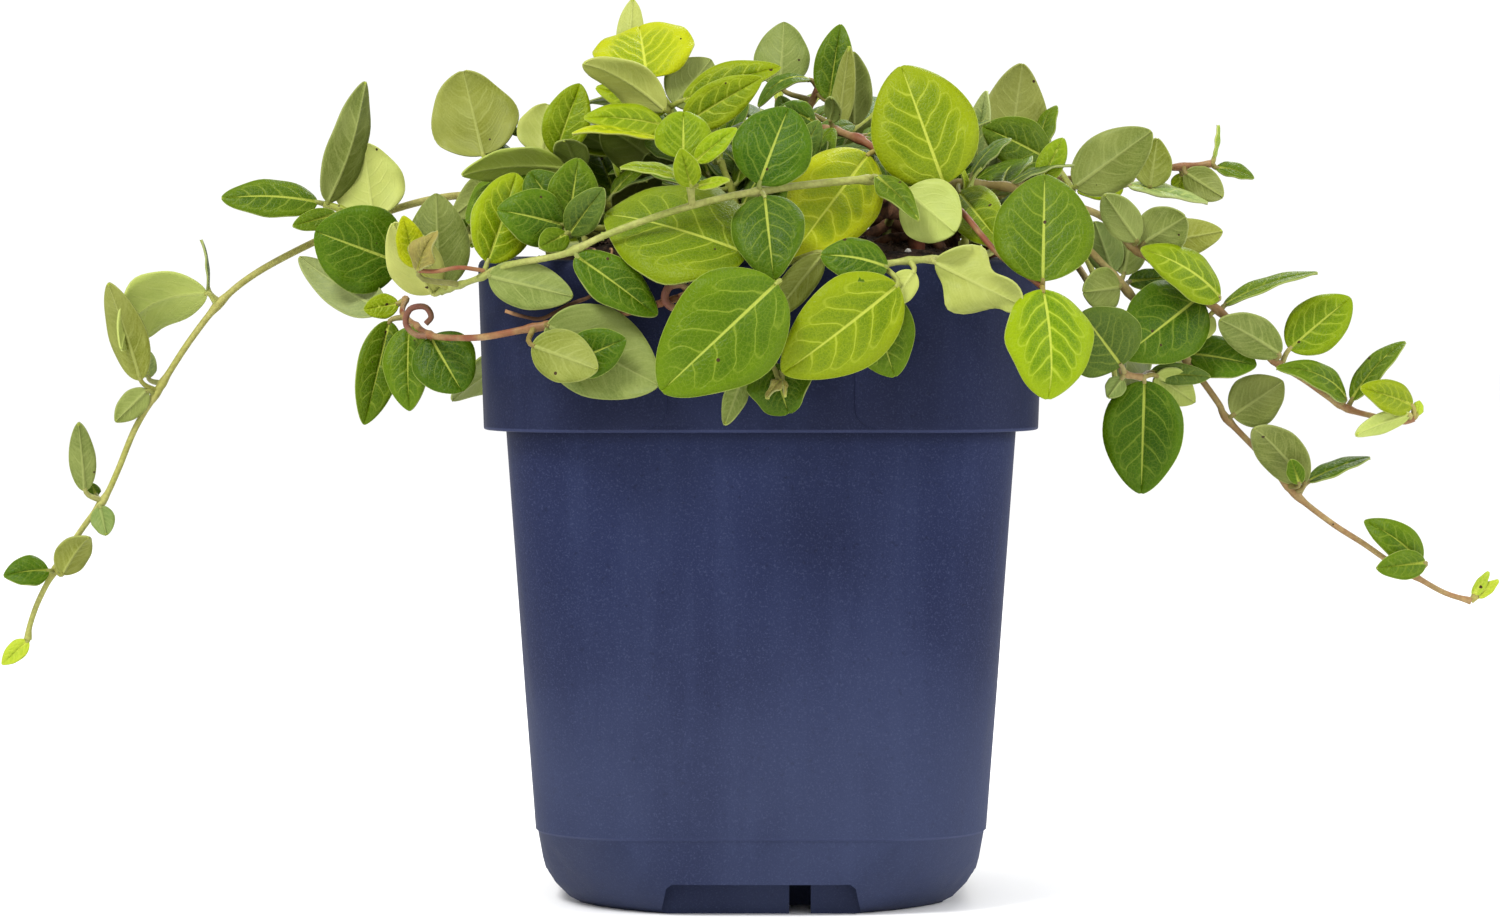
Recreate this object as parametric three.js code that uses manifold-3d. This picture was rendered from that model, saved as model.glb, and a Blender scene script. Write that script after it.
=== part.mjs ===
// A potted lesser periwinkle in a square plastic pot. Millimetres, Z up.
// The origin is on the ground under the middle of the pot, and -Y is its front.
import * as THREE from 'three';
import { mergeVertices } from 'three/addons/utils/BufferGeometryUtils.js';
import { LoftGeometry } from 'three/addons/geometries/LoftGeometry.js';
import Module from 'manifold-3d';

const wasm = await Module();
wasm.setup();

// Pot
const POT_HEIGHT = 139;
const RIM_WIDTH = 120;
const RIM_RADIUS = 22.5;
const COLLAR_BOTTOM = 103;
const COLLAR_BOTTOM_WIDTH = 117.6;
const COLLAR_WALL = 1.6;
const COLLAR_GROOVE_TOP = 135.5;
const COLLAR_PANEL_WIDTH = 39;
const COLLAR_PANEL_DEPTH = 0.5;
const PARTING_HEIGHT = 16.5;
const WALL = 1.9;
const FLOOR_TOP = 9.5;
const NOTCH_HEIGHT = 7;
const NOTCH_WIDTH_LOW = 43;
const NOTCH_WIDTH_HIGH = 39.5;
const NOTCH_DEPTH = 8;
const DRAIN_WIDTH = 4.6;
const DRAIN_LENGTH = 15;
const DRAIN_OFFSET = 8.3;
const CORNER_STEPS = 4;
// Height, width and corner radius of the body, from the ground to the rim
const BODY_SECTIONS = [
  [0, 87, 42],
  [1.4, 90.6, 42],
  [4.5, 92.9, 38],
  [10, 94.5, 29],
  [PARTING_HEIGHT, 95.9, 22],
  [PARTING_HEIGHT + 0.4, 96.8, 22],
  [46, 100.6, 18],
  [COLLAR_BOTTOM, 107.9, 14],
  [POT_HEIGHT, 109.6, 17],
];

// Soil
const GAP = 0.3;
const SOIL_EDGE_HEIGHT = 136.6;
const SOIL_RISE = 9;
const SOIL_BUMP = 0.8;
const SOIL_SEED = 41;
const HOLE_BOTTOM = 126;
const HOLE_CLEARANCE = 0.5;

// Foliage
const ROOT_RISE = 1.8;
const ROOT_LAP = 0.6;
const END_INSET = 1.2;
const STEM_RADIUS = 1;
const STEM_SIDES = 4;
const STEM_STEP = 11;
const BLADE_THICKNESS = 0.7;
const PETIOLE_WIDTH = 1.5;
// Below this, the cosine between a petiole and its blade calls for a petiole of its own
const BENT_PETIOLE = 0.08;
// Where a blade's cross sections lie between its foot and its tip
const WIDE_STATIONS = [0.26, 0.6, 0.86];
const NARROW_STATIONS = [0.3, 0.72];
const NARROW_WIDTH = 10.1;
const FLAT_WIDTH = 6.3;
// The room that a leaf keeps to its neighbours
const CLEARANCE = 0.45;
const SMALLEST_EDGE = 0.06;

// The eye that the places of the visible stems and leaves are given from
const EYE_DISTANCE = 1165;
const EYE_HEIGHT = 147.3;

const random = (seed) => {
  let state = seed;
  return () => {
    state = (state * 1664525 + 1013904223) % 4294967296;
    return state / 4294967296;
  };
};

const degrees = (angle) => angle * Math.PI / 180;

// A point seen at x and z on the plane through the pot's axis, but lying at another depth
const seen = (x, z, depth) => {
  const scale = 1 + depth / EYE_DISTANCE;
  return new THREE.Vector3(x * scale, depth, EYE_HEIGHT + (z - EYE_HEIGHT) * scale);
};

// Solids

const toSolid = (geometry) => {
  const bare = new THREE.BufferGeometry();
  bare.setAttribute('position', geometry.getAttribute('position'));
  bare.setIndex(geometry.getIndex());
  const merged = mergeVertices(bare, 1e-4);
  const faces = [];
  for (let i = 0; i < merged.index.count; i += 3) {
    const corners = [0, 1, 2].map((k) => merged.index.getX(i + k));
    if (new Set(corners).size === 3) faces.push(...corners);
  }
  const mesh = new wasm.Mesh({
    numProp: 3,
    vertProperties: new Float32Array(merged.attributes.position.array),
    triVerts: new Uint32Array(faces),
  });
  return new wasm.Manifold(mesh);
};

const toGeometry = (solid) => {
  const mesh = solid.getMesh();
  const geometry = new THREE.BufferGeometry();
  geometry.setAttribute('position', new THREE.BufferAttribute(new Float32Array(mesh.vertProperties), 3));
  geometry.setIndex(new THREE.BufferAttribute(new Uint32Array(mesh.triVerts), 1));
  return geometry;
};

// The outer skin of the largest body alone: joined leaves may seal a small hollow between them
const outerBody = (solid) => solid.simplify(SMALLEST_EDGE).decompose()
  .reduce((largest, next) => (next.volume() > largest.volume() ? next : largest));

const part = new THREE.Group();

const addPiece = (name, solid, color, roughness) => {
  const material = new THREE.MeshStandardMaterial({ color, roughness, metalness: 0 });
  const mesh = new THREE.Mesh(toGeometry(solid), material);
  mesh.name = name;
  part.add(mesh);
};

// One level ring of a square with round corners, counterclockwise from above
const roundedSquare = (width, radius, z) => {
  const points = [];
  const inset = width / 2 - radius;
  for (let corner = 0; corner < 4; corner += 1) {
    const start = corner * Math.PI / 2;
    const centre = new THREE.Vector2(inset, inset).rotateAround(new THREE.Vector2(), start);
    for (let step = 0; step <= CORNER_STEPS; step += 1) {
      const angle = start + step / CORNER_STEPS * Math.PI / 2;
      points.push(new THREE.Vector3(
        centre.x + radius * Math.cos(angle),
        centre.y + radius * Math.sin(angle),
        z,
      ));
    }
  }
  return points;
};

const loft = (sections) => {
  const rings = sections.map(([z, width, radius]) => roundedSquare(width, radius, z));
  return toSolid(new LoftGeometry(rings, { capStart: true, capEnd: true }));
};

const blockAt = (width, depth, height, x, y, z) => {
  const geometry = new THREE.BoxGeometry(width, depth, height);
  geometry.translate(x, y, z);
  return geometry;
};

// The body's width and corner radius at a height
const bodyAt = (height) => {
  const above = BODY_SECTIONS.findIndex(([z]) => z >= height);
  const [z1, width1, radius1] = BODY_SECTIONS[Math.max(above, 1)];
  const [z0, width0, radius0] = BODY_SECTIONS[Math.max(above, 1) - 1];
  const part01 = (height - z0) / (z1 - z0);
  return [width0 + (width1 - width0) * part01, radius0 + (radius1 - radius0) * part01];
};

const innerSection = (height, inset) => {
  const [width, radius] = bodyAt(height);
  return [height, width - 2 * inset, radius - inset];
};

const makePot = () => {
  const body = loft(BODY_SECTIONS);
  const collar = loft([
    [COLLAR_BOTTOM, COLLAR_BOTTOM_WIDTH, RIM_RADIUS - 1],
    [POT_HEIGHT - 0.8, RIM_WIDTH, RIM_RADIUS],
    [POT_HEIGHT, RIM_WIDTH - 1.4, RIM_RADIUS - 0.7],
  ]);
  // The gap behind the folded-down collar, open below
  const grooveOuter = loft([
    [COLLAR_BOTTOM - 1, COLLAR_BOTTOM_WIDTH - 2 * COLLAR_WALL, RIM_RADIUS - 1 - COLLAR_WALL],
    [COLLAR_GROOVE_TOP, RIM_WIDTH - 2 * COLLAR_WALL - 0.3, RIM_RADIUS - COLLAR_WALL],
  ]);
  const cavity = loft([
    innerSection(FLOOR_TOP, WALL),
    innerSection(PARTING_HEIGHT + 0.4, WALL),
    innerSection(46, WALL),
    innerSection(COLLAR_BOTTOM, WALL),
    [POT_HEIGHT + 1, bodyAt(POT_HEIGHT)[0] - 2 * WALL, bodyAt(POT_HEIGHT)[1] - WALL],
  ]);
  let pot = collar.subtract(grooveOuter).add(body).subtract(cavity);
  const notchShape = new THREE.Shape([
    new THREE.Vector2(-NOTCH_WIDTH_LOW / 2, -1),
    new THREE.Vector2(NOTCH_WIDTH_LOW / 2, -1),
    new THREE.Vector2(NOTCH_WIDTH_HIGH / 2, NOTCH_HEIGHT),
    new THREE.Vector2(-NOTCH_WIDTH_HIGH / 2, NOTCH_HEIGHT),
  ]);
  const halfFoot = BODY_SECTIONS[3][1] / 2;
  for (let side = 0; side < 4; side += 1) {
    const turn = side * Math.PI / 2;
    const notch = new THREE.ExtrudeGeometry(notchShape, { depth: NOTCH_DEPTH + 5, bevelEnabled: false });
    notch.rotateX(Math.PI / 2);
    notch.translate(0, -halfFoot + NOTCH_DEPTH, 0);
    const drainY = -halfFoot + NOTCH_DEPTH + DRAIN_LENGTH / 2 - 1;
    const drain = blockAt(DRAIN_WIDTH, DRAIN_LENGTH, FLOOR_TOP + 2, DRAIN_OFFSET, drainY, FLOOR_TOP / 2);
    const panel = blockAt(
      COLLAR_PANEL_WIDTH,
      2,
      POT_HEIGHT - COLLAR_BOTTOM,
      0,
      -RIM_WIDTH / 2 - 1 + COLLAR_PANEL_DEPTH,
      (POT_HEIGHT + COLLAR_BOTTOM) / 2 - 1.6,
    );
    // The panel leans with the collar, which is a little narrower at its foot
    panel.translate(0, RIM_WIDTH / 2, -POT_HEIGHT);
    panel.rotateX(Math.atan((RIM_WIDTH - COLLAR_BOTTOM_WIDTH) / 2 / (POT_HEIGHT - COLLAR_BOTTOM)));
    panel.translate(0, -RIM_WIDTH / 2, POT_HEIGHT);
    for (const cutter of [notch, drain, panel]) {
      cutter.rotateZ(turn);
      pot = pot.subtract(toSolid(cutter));
    }
  }
  return pot;
};

// Soil: the heights of its domed top fall from the middle to the wall
const soilHeight = (share) => SOIL_EDGE_HEIGHT + SOIL_RISE * (1 - share ** 2.4);

const makeSoil = (holes) => {
  const inset = WALL + GAP;
  const rings = [
    innerSection(FLOOR_TOP + GAP, inset),
    innerSection(PARTING_HEIGHT + 0.4, inset),
    innerSection(COLLAR_BOTTOM, inset),
    innerSection(SOIL_EDGE_HEIGHT, inset),
  ].map(([z, width, radius]) => roundedSquare(width, radius, z));
  const [topWidth, topRadius] = innerSection(SOIL_EDGE_HEIGHT, inset).slice(1);
  const draw = random(SOIL_SEED);
  for (const share of [0.88, 0.68, 0.44, 0.16]) {
    const ring = roundedSquare(topWidth * share, topRadius * share, soilHeight(share));
    for (const point of ring) point.z += SOIL_BUMP * (2 * draw() - 1);
    rings.push(ring);
  }
  let soil = toSolid(new LoftGeometry(rings, { capStart: true, capEnd: true }));
  for (const hole of holes) {
    const height = POT_HEIGHT + 30 - HOLE_BOTTOM;
    const cutter = new THREE.CylinderGeometry(hole.radius, hole.radius, height, 5);
    cutter.rotateX(Math.PI / 2);
    cutter.translate(hole.x, hole.y, HOLE_BOTTOM + height / 2);
    soil = soil.subtract(toSolid(cutter));
  }
  return soil;
};

const curveOf = (points) => new THREE.CatmullRomCurve3(points, false, 'catmullrom', 0.5);

const stepsOf = (curve) => Math.max(1, Math.round(curve.getLength() / STEM_STEP));

// A stem: a slim tube along a curve through its points
const tube = (points, radius) => {
  const curve = curveOf(points);
  const section = new THREE.Shape();
  for (let side = 0; side < STEM_SIDES; side += 1) {
    const angle = side / STEM_SIDES * 2 * Math.PI;
    const place = [radius * Math.cos(angle), radius * Math.sin(angle)];
    if (side === 0) section.moveTo(...place);
    else section.lineTo(...place);
  }
  section.closePath();
  const settings = { steps: stepsOf(curve), extrudePath: curve, bevelEnabled: false };
  return toSolid(new THREE.ExtrudeGeometry(section, settings));
};

// The point of the tubes' middle lines that is nearest to a place, and not at the very end of a tube
const nearestOn = (curves, place) => {
  const found = new THREE.Vector3(Infinity, Infinity, Infinity);
  for (const curve of curves) {
    const points = curve.getSpacedPoints(stepsOf(curve));
    const last = points[points.length - 1];
    const before = points[points.length - 2];
    last.addScaledVector(before.clone().sub(last).normalize(), END_INSET);
    for (let i = 1; i < points.length; i += 1) {
      const near = new THREE.Line3(points[i - 1], points[i]).closestPointToPoint(place, true, new THREE.Vector3());
      if (near.distanceTo(place) < found.distanceTo(place)) found.copy(near);
    }
  }
  return found;
};

// The half width of a blade along its length, as a share of half its greatest width
const bladeOutline = (along) => Math.sin(Math.PI * along ** 0.8) ** 0.62;

// A leaf: a petiole that starts inside the stem, and a thin arched and folded blade.
// facing is the way its upper side looks, roughly. grow makes it larger all round.
// A petiole that turns sharply away from its blade is a short tube of its own.
const leafSolid = (leaf, grow) => {
  const along = leaf.tip.clone().sub(leaf.base);
  const length = along.length();
  along.normalize();
  const up = leaf.facing.clone().addScaledVector(along, -leaf.facing.dot(along)).normalize();
  const across = new THREE.Vector3().crossVectors(along, up);
  const fold = degrees(leaf.fold);
  const way = leaf.base.clone().sub(leaf.root).normalize();
  const bent = way.dot(along) < BENT_PETIOLE;
  const stations = [
    ...(bent ? [] : [{ middle: leaf.root, half: PETIOLE_WIDTH / 2 }]),
    { middle: leaf.base, half: PETIOLE_WIDTH / 2 },
    ...leaf.stations.map((share) => ({
      middle: leaf.base.clone()
        .addScaledVector(along, share * length)
        .addScaledVector(up, leaf.arch * length * 4 * share * (1 - share)),
      half: leaf.width / 2 * bladeOutline(share),
    })),
    { middle: leaf.tip.clone().addScaledVector(along, grow), half: 0 },
  ];
  const box = new THREE.BoxGeometry(1, 1, 1, leaf.halves, stations.length - 1, 1);
  const place = box.attributes.position;
  for (let i = 0; i < place.count; i += 1) {
    const station = stations[Math.round((place.getY(i) + 0.5) * (stations.length - 1))];
    const side = 2 * place.getX(i);
    const half = station.half === 0 ? 0 : station.half + grow;
    const point = station.middle.clone()
      .addScaledVector(across, side * half * Math.cos(fold))
      .addScaledVector(up, Math.abs(side) * half * Math.sin(fold))
      .addScaledVector(up, 2 * place.getZ(i) * (BLADE_THICKNESS / 2 + grow));
    place.setXYZ(i, point.x, point.y, point.z);
  }
  const blade = toSolid(box);
  if (!bent) return blade;
  return blade.add(tube([leaf.root, leaf.base.clone().addScaledVector(way, 0.4)], PETIOLE_WIDTH / 2 + grow));
};

// Visible stems. path: x, z and depth of points on the stem, from the soil to the tip.
// A leaf: x and z of its base, x and z of its tip, the depths of both, its width, its roll, its fold
// and its arch. A roll of 0 turns its upper side to the front, 90 up or to the right, 180 away.
const VISIBLE_STEMS = [
  {
    name: 'stem_long_left',
    root: [-30, 12],
    path: [
      [-38, 151, 14], [-60, 152.7, 13], [-72, 151.8, 12], [-85, 148, 10], [-97.5, 142.6, 7],
      [-110, 136, 4], [-118, 129.7, 2], [-125, 121, 0], [-131.5, 111, -2], [-137, 102, -3],
      [-141, 92.5, -3], [-144, 86.3, -3], [-149, 79.5, -3], [-155, 70.5, -3], [-158.5, 64, -3],
      [-160.5, 58.5, -3], [-161, 55.3, -3],
    ],
    leaves: [
      [-121.5, 131.3, -140.5, 119.5, 0, -8, 16, 140, 10, 0.3],
      [-121, 132, -122.2, 143, 2, 6, 4, 85, 0, 0.05],
      [-136, 112.3, -143, 133.5, -5, -8, 9, 165, 14, 0.06],
      [-134.3, 112.8, -134, 118.6, 0, 2, 3.6, 10, 0, 0],
      [-134.5, 110, -141.5, 103.2, -4, -6, 6, 175, 8, 0.05],
      [-148.3, 88, -149.6, 103, -5, -8, 6.2, 175, 15, 0.05],
      [-145.8, 86.8, -147, 89.6, -1, 0, 3, 20, 0, 0],
      [-145, 84.5, -143.6, 78.2, -4, -6, 5.4, 175, 8, 0],
      [-153.3, 69.6, -147.6, 78, -6, -9, 8.5, 160, 22, 0.1],
      [-156.5, 70.4, -166, 69.3, -5, -8, 7.5, 25, 10, 0.1],
      [-161, 55, -166.6, 49.8, -3, -4, 4.4, 10, 10, 0.05],
    ],
  },
  {
    name: 'stem_upper_left',
    root: [-36, 2],
    path: [[-50, 147.5, -4], [-62, 143.5, -6], [-74, 143.3, -6], [-84, 146, -4], [-91, 149.3, -2], [-95.5, 150.8, -1]],
    leaves: [
      [-97.2, 151.2, -118, 152, -2, -5, 9.5, 35, -6, 0.08],
      [-93, 148.5, -102.5, 146, -5, -8, 5, 20, 5, 0],
      [-94.8, 151.2, -87, 177.5, -2, 3, 11, 150, 22, -0.1],
      [-85, 148.3, -86.8, 163.7, -1, 3, 16, 180, 8, 0.04],
      [-79, 138, -97.5, 144.8, -10, -14, 19.5, 0, 5, 0.06],
    ],
  },
  {
    name: 'stem_front_left',
    root: [27, -22],
    path: [
      [30, 153, -42], [25.5, 156, -52.5], [12, 155.2, -57.5], [0, 153.6, -61.5], [-8, 152.2, -64], [-20, 149, -67],
      [-34, 144, -67], [-43, 139.9, -66], [-55, 137.5, -62], [-62, 134.5, -56], [-70, 131.7, -46],
    ],
    leaves: [
      [-0.3, 155.4, 6, 171.7, -63, -58, 17, 5, 8, 0.06],
      [0.8, 152.4, 2.8, 134.8, -64, -74, 15.5, 0, 8, 0.08],
      [-40.3, 139.3, -22.8, 126.3, -67, -68, 10.5, 15, 8, 0.05],
      [-59.5, 135, -41.3, 130.6, -61, -67, 10, 178, 5, 0.04],
      [-59.8, 138.3, -53.5, 157.5, -55, -48, 14, -15, 10, 0.05],
      [-17, 161, -17, 170.9, -68, -65, 12, 0, 8, 0.04],
      [-14.3, 160, -5.5, 167.3, -69, -70, 5, 20, 12, 0.05],
      [-15.3, 154.8, -17.6, 162.7, -71, -74, 6, 0, 18, 0.05],
      [-17.5, 157, -30.6, 159, -70, -74, 5, 60, 8, 0.05],
      [-14, 154.6, -7, 156.2, -70, -73, 2.8, 40, 8, 0],
      [-70.3, 132.3, -71, 153, -42, -38, 14, 175, 14, -0.06],
      [-72, 131.2, -80.5, 147, -44, -52, 12, 170, 18, -0.12],
      [-75.5, 137, -78.3, 148, -52, -55, 6.5, 10, 12, 0],
      [25.2, 156.8, 34.5, 147.6, -56, -68, 5.5, 25, 8, 0.06],
    ],
    shoots: [[[-15, 150.6, -67], [-15.4, 154.4, -68.5], [-15.8, 160.5, -67.5]]],
  },
  {
    name: 'stem_front_red',
    root: [-3, -41],
    path: [
      [-4, 144.5, -56], [-7, 137, -65.5], [-12, 132.6, -66], [-19, 130, -66], [-30, 127, -66],
      [-45, 124.5, -65.5], [-51, 123.5, -65], [-60, 121.8, -62], [-66, 121.5, -54], [-72, 122, -44],
      [-76, 124.5, -34], [-78.5, 127, -24], [-77.8, 130, -17],
    ],
    leaves: [
      [-50, 119.8, -35.8, 114.6, -72, -76, 11, 172, 6, 0.05],
      [-42.5, 115.8, -29.6, 121.3, -70, -73, 10, 5, 5, 0],
      [-46.8, 124.2, -22.5, 111.2, -68, -70, 19, 180, 5, 0.05],
      [-72.3, 121.5, -65.5, 109.7, -42, -46, 14, 0, 8, 0.06],
      [-77, 123.7, -77, 105.6, -36, -40, 11, -20, 16, 0.06],
      [-81.5, 125, -87, 102.5, -28, -31, 10, 8, 14, 0.05],
      [-79.5, 129, -87, 127.7, -17, -18, 5.5, 10, 5, 0],
      [-83, 127.5, -100.5, 138.5, -15, -3, 10, 178, 8, 0.06],
    ],
  },
  {
    name: 'stem_front_centre',
    root: [4, -38],
    path: [[1.5, 146, -53], [1, 141.4, -61], [2.5, 135, -68.5], [2.8, 124, -69], [2.5, 116.5, -66.5]],
    leaves: [
      [3.4, 133.5, -21.5, 110, -78, -82, 23.5, 0, 6, 0.05],
      [-3, 140, -34, 149, -68, -62, 28.5, 12, 4, 0.04],
      [-3.5, 114, -8, 102.5, -66.5, -68, 5, 178, 10, 0],
      [2.6, 115.5, 6, 105.2, -68, -70, 13, 0, 8, 0.05],
      [13.5, 139.6, 2.5, 125.6, -69, -73, 7, 165, 10, 0.08],
    ],
  },
  {
    name: 'stem_front_right',
    root: [43, -30],
    path: [[50, 148.5, -48], [51, 140.8, -59], [42, 138.9, -64], [34.5, 138.6, -66], [28, 137.8, -68], [24, 136.3, -70]],
    leaves: [
      [29.8, 133, 5, 113.8, -72, -74, 19, -8, 6, 0.06],
      [27.5, 137, 13.2, 139.6, -71, -68, 10, 30, -8, 0.12],
      [33.5, 136, 27.8, 128.4, -69, -71, 6, 172, 8, 0],
      [38.2, 138, 57.5, 128.6, -68, -74, 11.5, 172, 6, -0.05],
      [23.5, 131, 29.3, 113.2, -68, -68, 14.5, 0, 6, 0.05],
    ],
  },
  {
    name: 'stem_red_right',
    root: [5, -6],
    path: [
      [7.5, 160, -16], [13, 166.8, -24], [20, 165.5, -32], [24, 163.5, -36], [35, 156.5, -48],
      [43.5, 149.5, -58], [51, 140.8, -67], [57, 136, -69.5], [61.5, 133, -70],
    ],
    leaves: [
      [61.7, 134, 62, 157.3, -71, -62, 21, 0, 6, 0.05],
      [61.7, 131.8, 63.5, 108.5, -72, -76, 19.5, 0, 8, 0.08],
      [40, 155.3, 30.5, 181, -56, -50, 22.5, 0, 6, 0.05],
      [32, 153.4, 42.5, 144.6, -58, -64, 14, 176, 10, 0.05],
      [23.3, 161.5, 6.6, 139.2, -39, -62.5, 19, 0, 6, 0.03],
      [11.5, 168.5, 3.2, 171, -26, -26, 7, 30, 12, 0.2],
    ],
  },
  {
    name: 'stem_long_right',
    root: [37, -12],
    path: [
      [40, 153, -34], [43.6, 155.2, -38], [56, 154.2, -36], [70, 150, -32], [76, 147, -30],
      [81.8, 141, -28], [88, 137.3, -26], [95, 132, -24], [99.5, 128, -23], [105, 123.5, -22],
      [109, 119.5, -21], [113, 116, -20], [119, 112.3, -18], [127.5, 106.5, -16], [134, 104.4, -15],
      [140, 103.2, -15], [143, 104, -15],
    ],
    leaves: [
      [43.5, 153.2, 53, 141.5, -43, -50, 11, 0, 6, 0.05],
      [82.3, 142.8, 75, 153, -30, -36, 8, 178, 10, 0.05],
      [83.7, 142.3, 92.8, 148, -29, -32, 11, 176, 8, 0.05],
      [86, 142.2, 101, 144.9, -23, -20, 8.5, 178, 6, 0.05],
      [100.3, 130.5, 83.5, 141, -26, -33, 10.5, 30, -6, 0.14],
      [101.5, 128.7, 121.8, 135.7, -22, -20, 6.5, 62, 8, 0.07],
      [113.6, 118, 100.5, 125.5, -22, -28, 9.5, 168, 8, 0.12],
      [96, 130.5, 79.5, 117.5, -22, -34, 18, 0, 6, 0.05],
      [98.3, 126.5, 95.6, 120.8, -22, -21, 5, 178, 5, 0],
      [115.8, 119.2, 129, 130.3, -18, -14, 12, 8, 6, 0.05],
      [128, 108.3, 113.6, 115.2, -18, -25, 7.5, 40, 6, 0.18],
      [129.5, 108, 141, 120.7, -15, -12, 6.5, 38, 8, 0.1],
      [142.6, 106.8, 131.8, 110.5, -16, -22, 7.5, 15, 6, 0.06],
      [142, 104.8, 130, 100.4, -17, -22, 4.6, 160, 8, 0.05],
      [143.6, 104.5, 144.2, 107.8, -15, -15, 2.6, 0, 8, 0],
    ],
  },
  {
    name: 'stem_low_right',
    root: [46, 0],
    path: [
      [57, 150.5, -18], [65, 146.6, -25], [71.5, 141, -28], [77.8, 134.4, -27], [81.7, 130, -25],
      [92.5, 117.5, -19], [100, 107.5, -17], [101.9, 104, -17], [110, 95.5, -16], [117, 87.4, -15],
      [125, 81, -14], [132, 76.5, -13], [137.5, 72.7, -12], [143.5, 69.2, -12], [150, 65.6, -12],
      [155.8, 63.8, -12],
    ],
    leaves: [
      [77, 135.8, 73, 147, -24, -20, 8, 178, 8, 0],
      [79.4, 135.4, 81.5, 147, -24, -20, 8, 178, 8, 0],
      [78.5, 132.6, 70.4, 131.5, -28, -33, 9.5, 178, 6, 0],
      [80.5, 133.8, 91, 135, -22, -18, 5, 20, 5, 0],
      [94, 118, 108.5, 115.5, -18, -20, 10.5, 0, 6, 0.05],
      [103.5, 104.6, 114.3, 112, -18, -14, 11.5, 178, 6, 0.05],
      [119.2, 89.8, 108, 102, -17, -24, 10, 165, 8, 0.12],
      [118, 89.6, 116.2, 95, -19, -20, 4, 10, 5, 0],
      [120, 90, 133.5, 95.3, -13, -9, 6, 55, 8, 0.05],
      [144.6, 72.4, 132.5, 81.3, -13, -14, 8, 15, 8, 0.22],
      [145.6, 72.2, 135, 71, -17, -22, 6.5, 5, 6, 0.05],
      [156.3, 64.8, 159.5, 70.2, -12, -12, 2.4, 10, 5, 0],
      [157, 64.6, 161.7, 68.4, -12, -12, 2.6, 10, 5, 0],
    ],
  },
  {
    name: 'stem_hanging_right',
    root: [44, 14],
    path: [[60, 145.5, 6], [69, 137.5, -4], [75, 127, -15], [78.6, 119, -24], [79.3, 114, -31], [83.5, 112.9, -31]],
    leaves: [
      [78.8, 115.6, 70.3, 127, -35, -41, 17, 0, 6, 0.05],
      [84, 112, 83.4, 87.5, -31, -31, 17.5, 0, 8, 0.05],
      [79, 112.6, 76, 108.5, -32, -34, 4.4, 178, 5, 0],
      [86.5, 113.3, 95, 107.5, -28, -22, 8, 178, 5, 0.05],
      [85.5, 114, 98.5, 113, -27, -20, 5, 10, 5, 0],
    ],
  },
  {
    name: 'stem_upper_right',
    root: [36, 8],
    path: [[47, 150, 2], [53.5, 155.4, -1], [60, 159, -5], [64, 159.4, -9], [68.3, 153.8, -13]],
    leaves: [
      [53.7, 157, 57, 181, 0, 5, 15.5, 180, 6, 0.04],
      [62.7, 160.6, 48.5, 167.6, -11, -15, 12, 15, 8, 0.06],
      [68.8, 154.6, 85.3, 166.7, -15, -17, 13, 178, 6, 0.05],
      [47.2, 154, 49.4, 175.5, -4, -7, 8.5, -40, 14, 0.05],
    ],
  },
  {
    name: 'stem_back_right',
    root: [40, 22],
    path: [[56, 154.5, 20], [70, 156.5, 16], [80, 158.3, 12], [88, 158.6, 8], [98.5, 159.6, 6]],
    leaves: [
      [85, 154.5, 86.6, 165, 2, 2, 8.5, 178, 8, 0],
      [80.5, 154.8, 97.7, 150.8, 3, 0, 6.5, 60, 10, 0.03],
      [79, 154.6, 69.5, 153.5, 4, 0, 6, 20, 6, 0.05],
      [92.8, 157.6, 101, 152.3, 5, 2, 7.5, 178, 8, 0.05],
      [99.6, 158.6, 107.7, 156.5, 6, 6, 5, 50, 6, 0.1],
      [99, 160.6, 100, 168, 6, 8, 4, 82, 0, 0.05],
      [92, 157.4, 91, 152.6, 8, 10, 4, 0, 5, 0],
    ],
  },
  {
    name: 'stem_top_centre',
    root: [-6, -4],
    path: [[-12, 156, -18], [-18, 166, -26], [-20, 171.4, -28], [-23.5, 177.6, -26]],
    leaves: [
      [-25, 178.6, -26.5, 189.2, -27, -13, 22, 5, 8, 0.06],
      [-21, 171.2, -38.6, 181.8, -31, -36, 10, 150, 12, 0.12],
      [-21, 171, -36, 176.5, -27, -24, 7, 20, 6, 0],
      [-18.8, 172.6, -11, 182.3, -25, -20, 12, 178, 8, 0],
      [-16.8, 173.5, 4.3, 180.7, -31, -34, 8.5, 25, 10, 0.08],
      [-16.8, 168.3, 0, 178.3, -35, -39, 9.5, 5, 12, 0.05],
      [-29, 183, -28, 195.5, -12, -8, 6, 178, 8, 0],
      [-21.5, 168, -38.3, 169.8, -33, -38, 8, 30, 8, 0.06],
      [-22, 165, -41, 166.8, -35, -44, 5.5, 68, 8, 0.05],
    ],
  },
  {
    name: 'stem_mid_left',
    root: [-22, -8],
    path: [[-33, 150, -15], [-41.5, 158, -18], [-48, 160.8, -18], [-60, 160.6, -14]],
    leaves: [
      [-60.8, 161.6, -65, 179.3, -12, -6, 19, 180, 6, 0.04],
      [-43, 158.6, -65.5, 157.3, -24, -30, 10, 140, 10, 0.08],
      [-48, 162, -46.5, 172.2, -15, -10, 12, 180, 6, 0],
      [-45, 161.8, -39.5, 177, -22, -20, 10.5, 0, 14, 0.04],
      [-55, 158, -67.5, 148, -12, -8, 8, 178, 8, 0.05],
    ],
  },
  {
    name: 'stem_tuft_left',
    root: [-29, -25],
    path: [[-36, 145.5, -43], [-42.6, 146, -52]],
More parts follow.
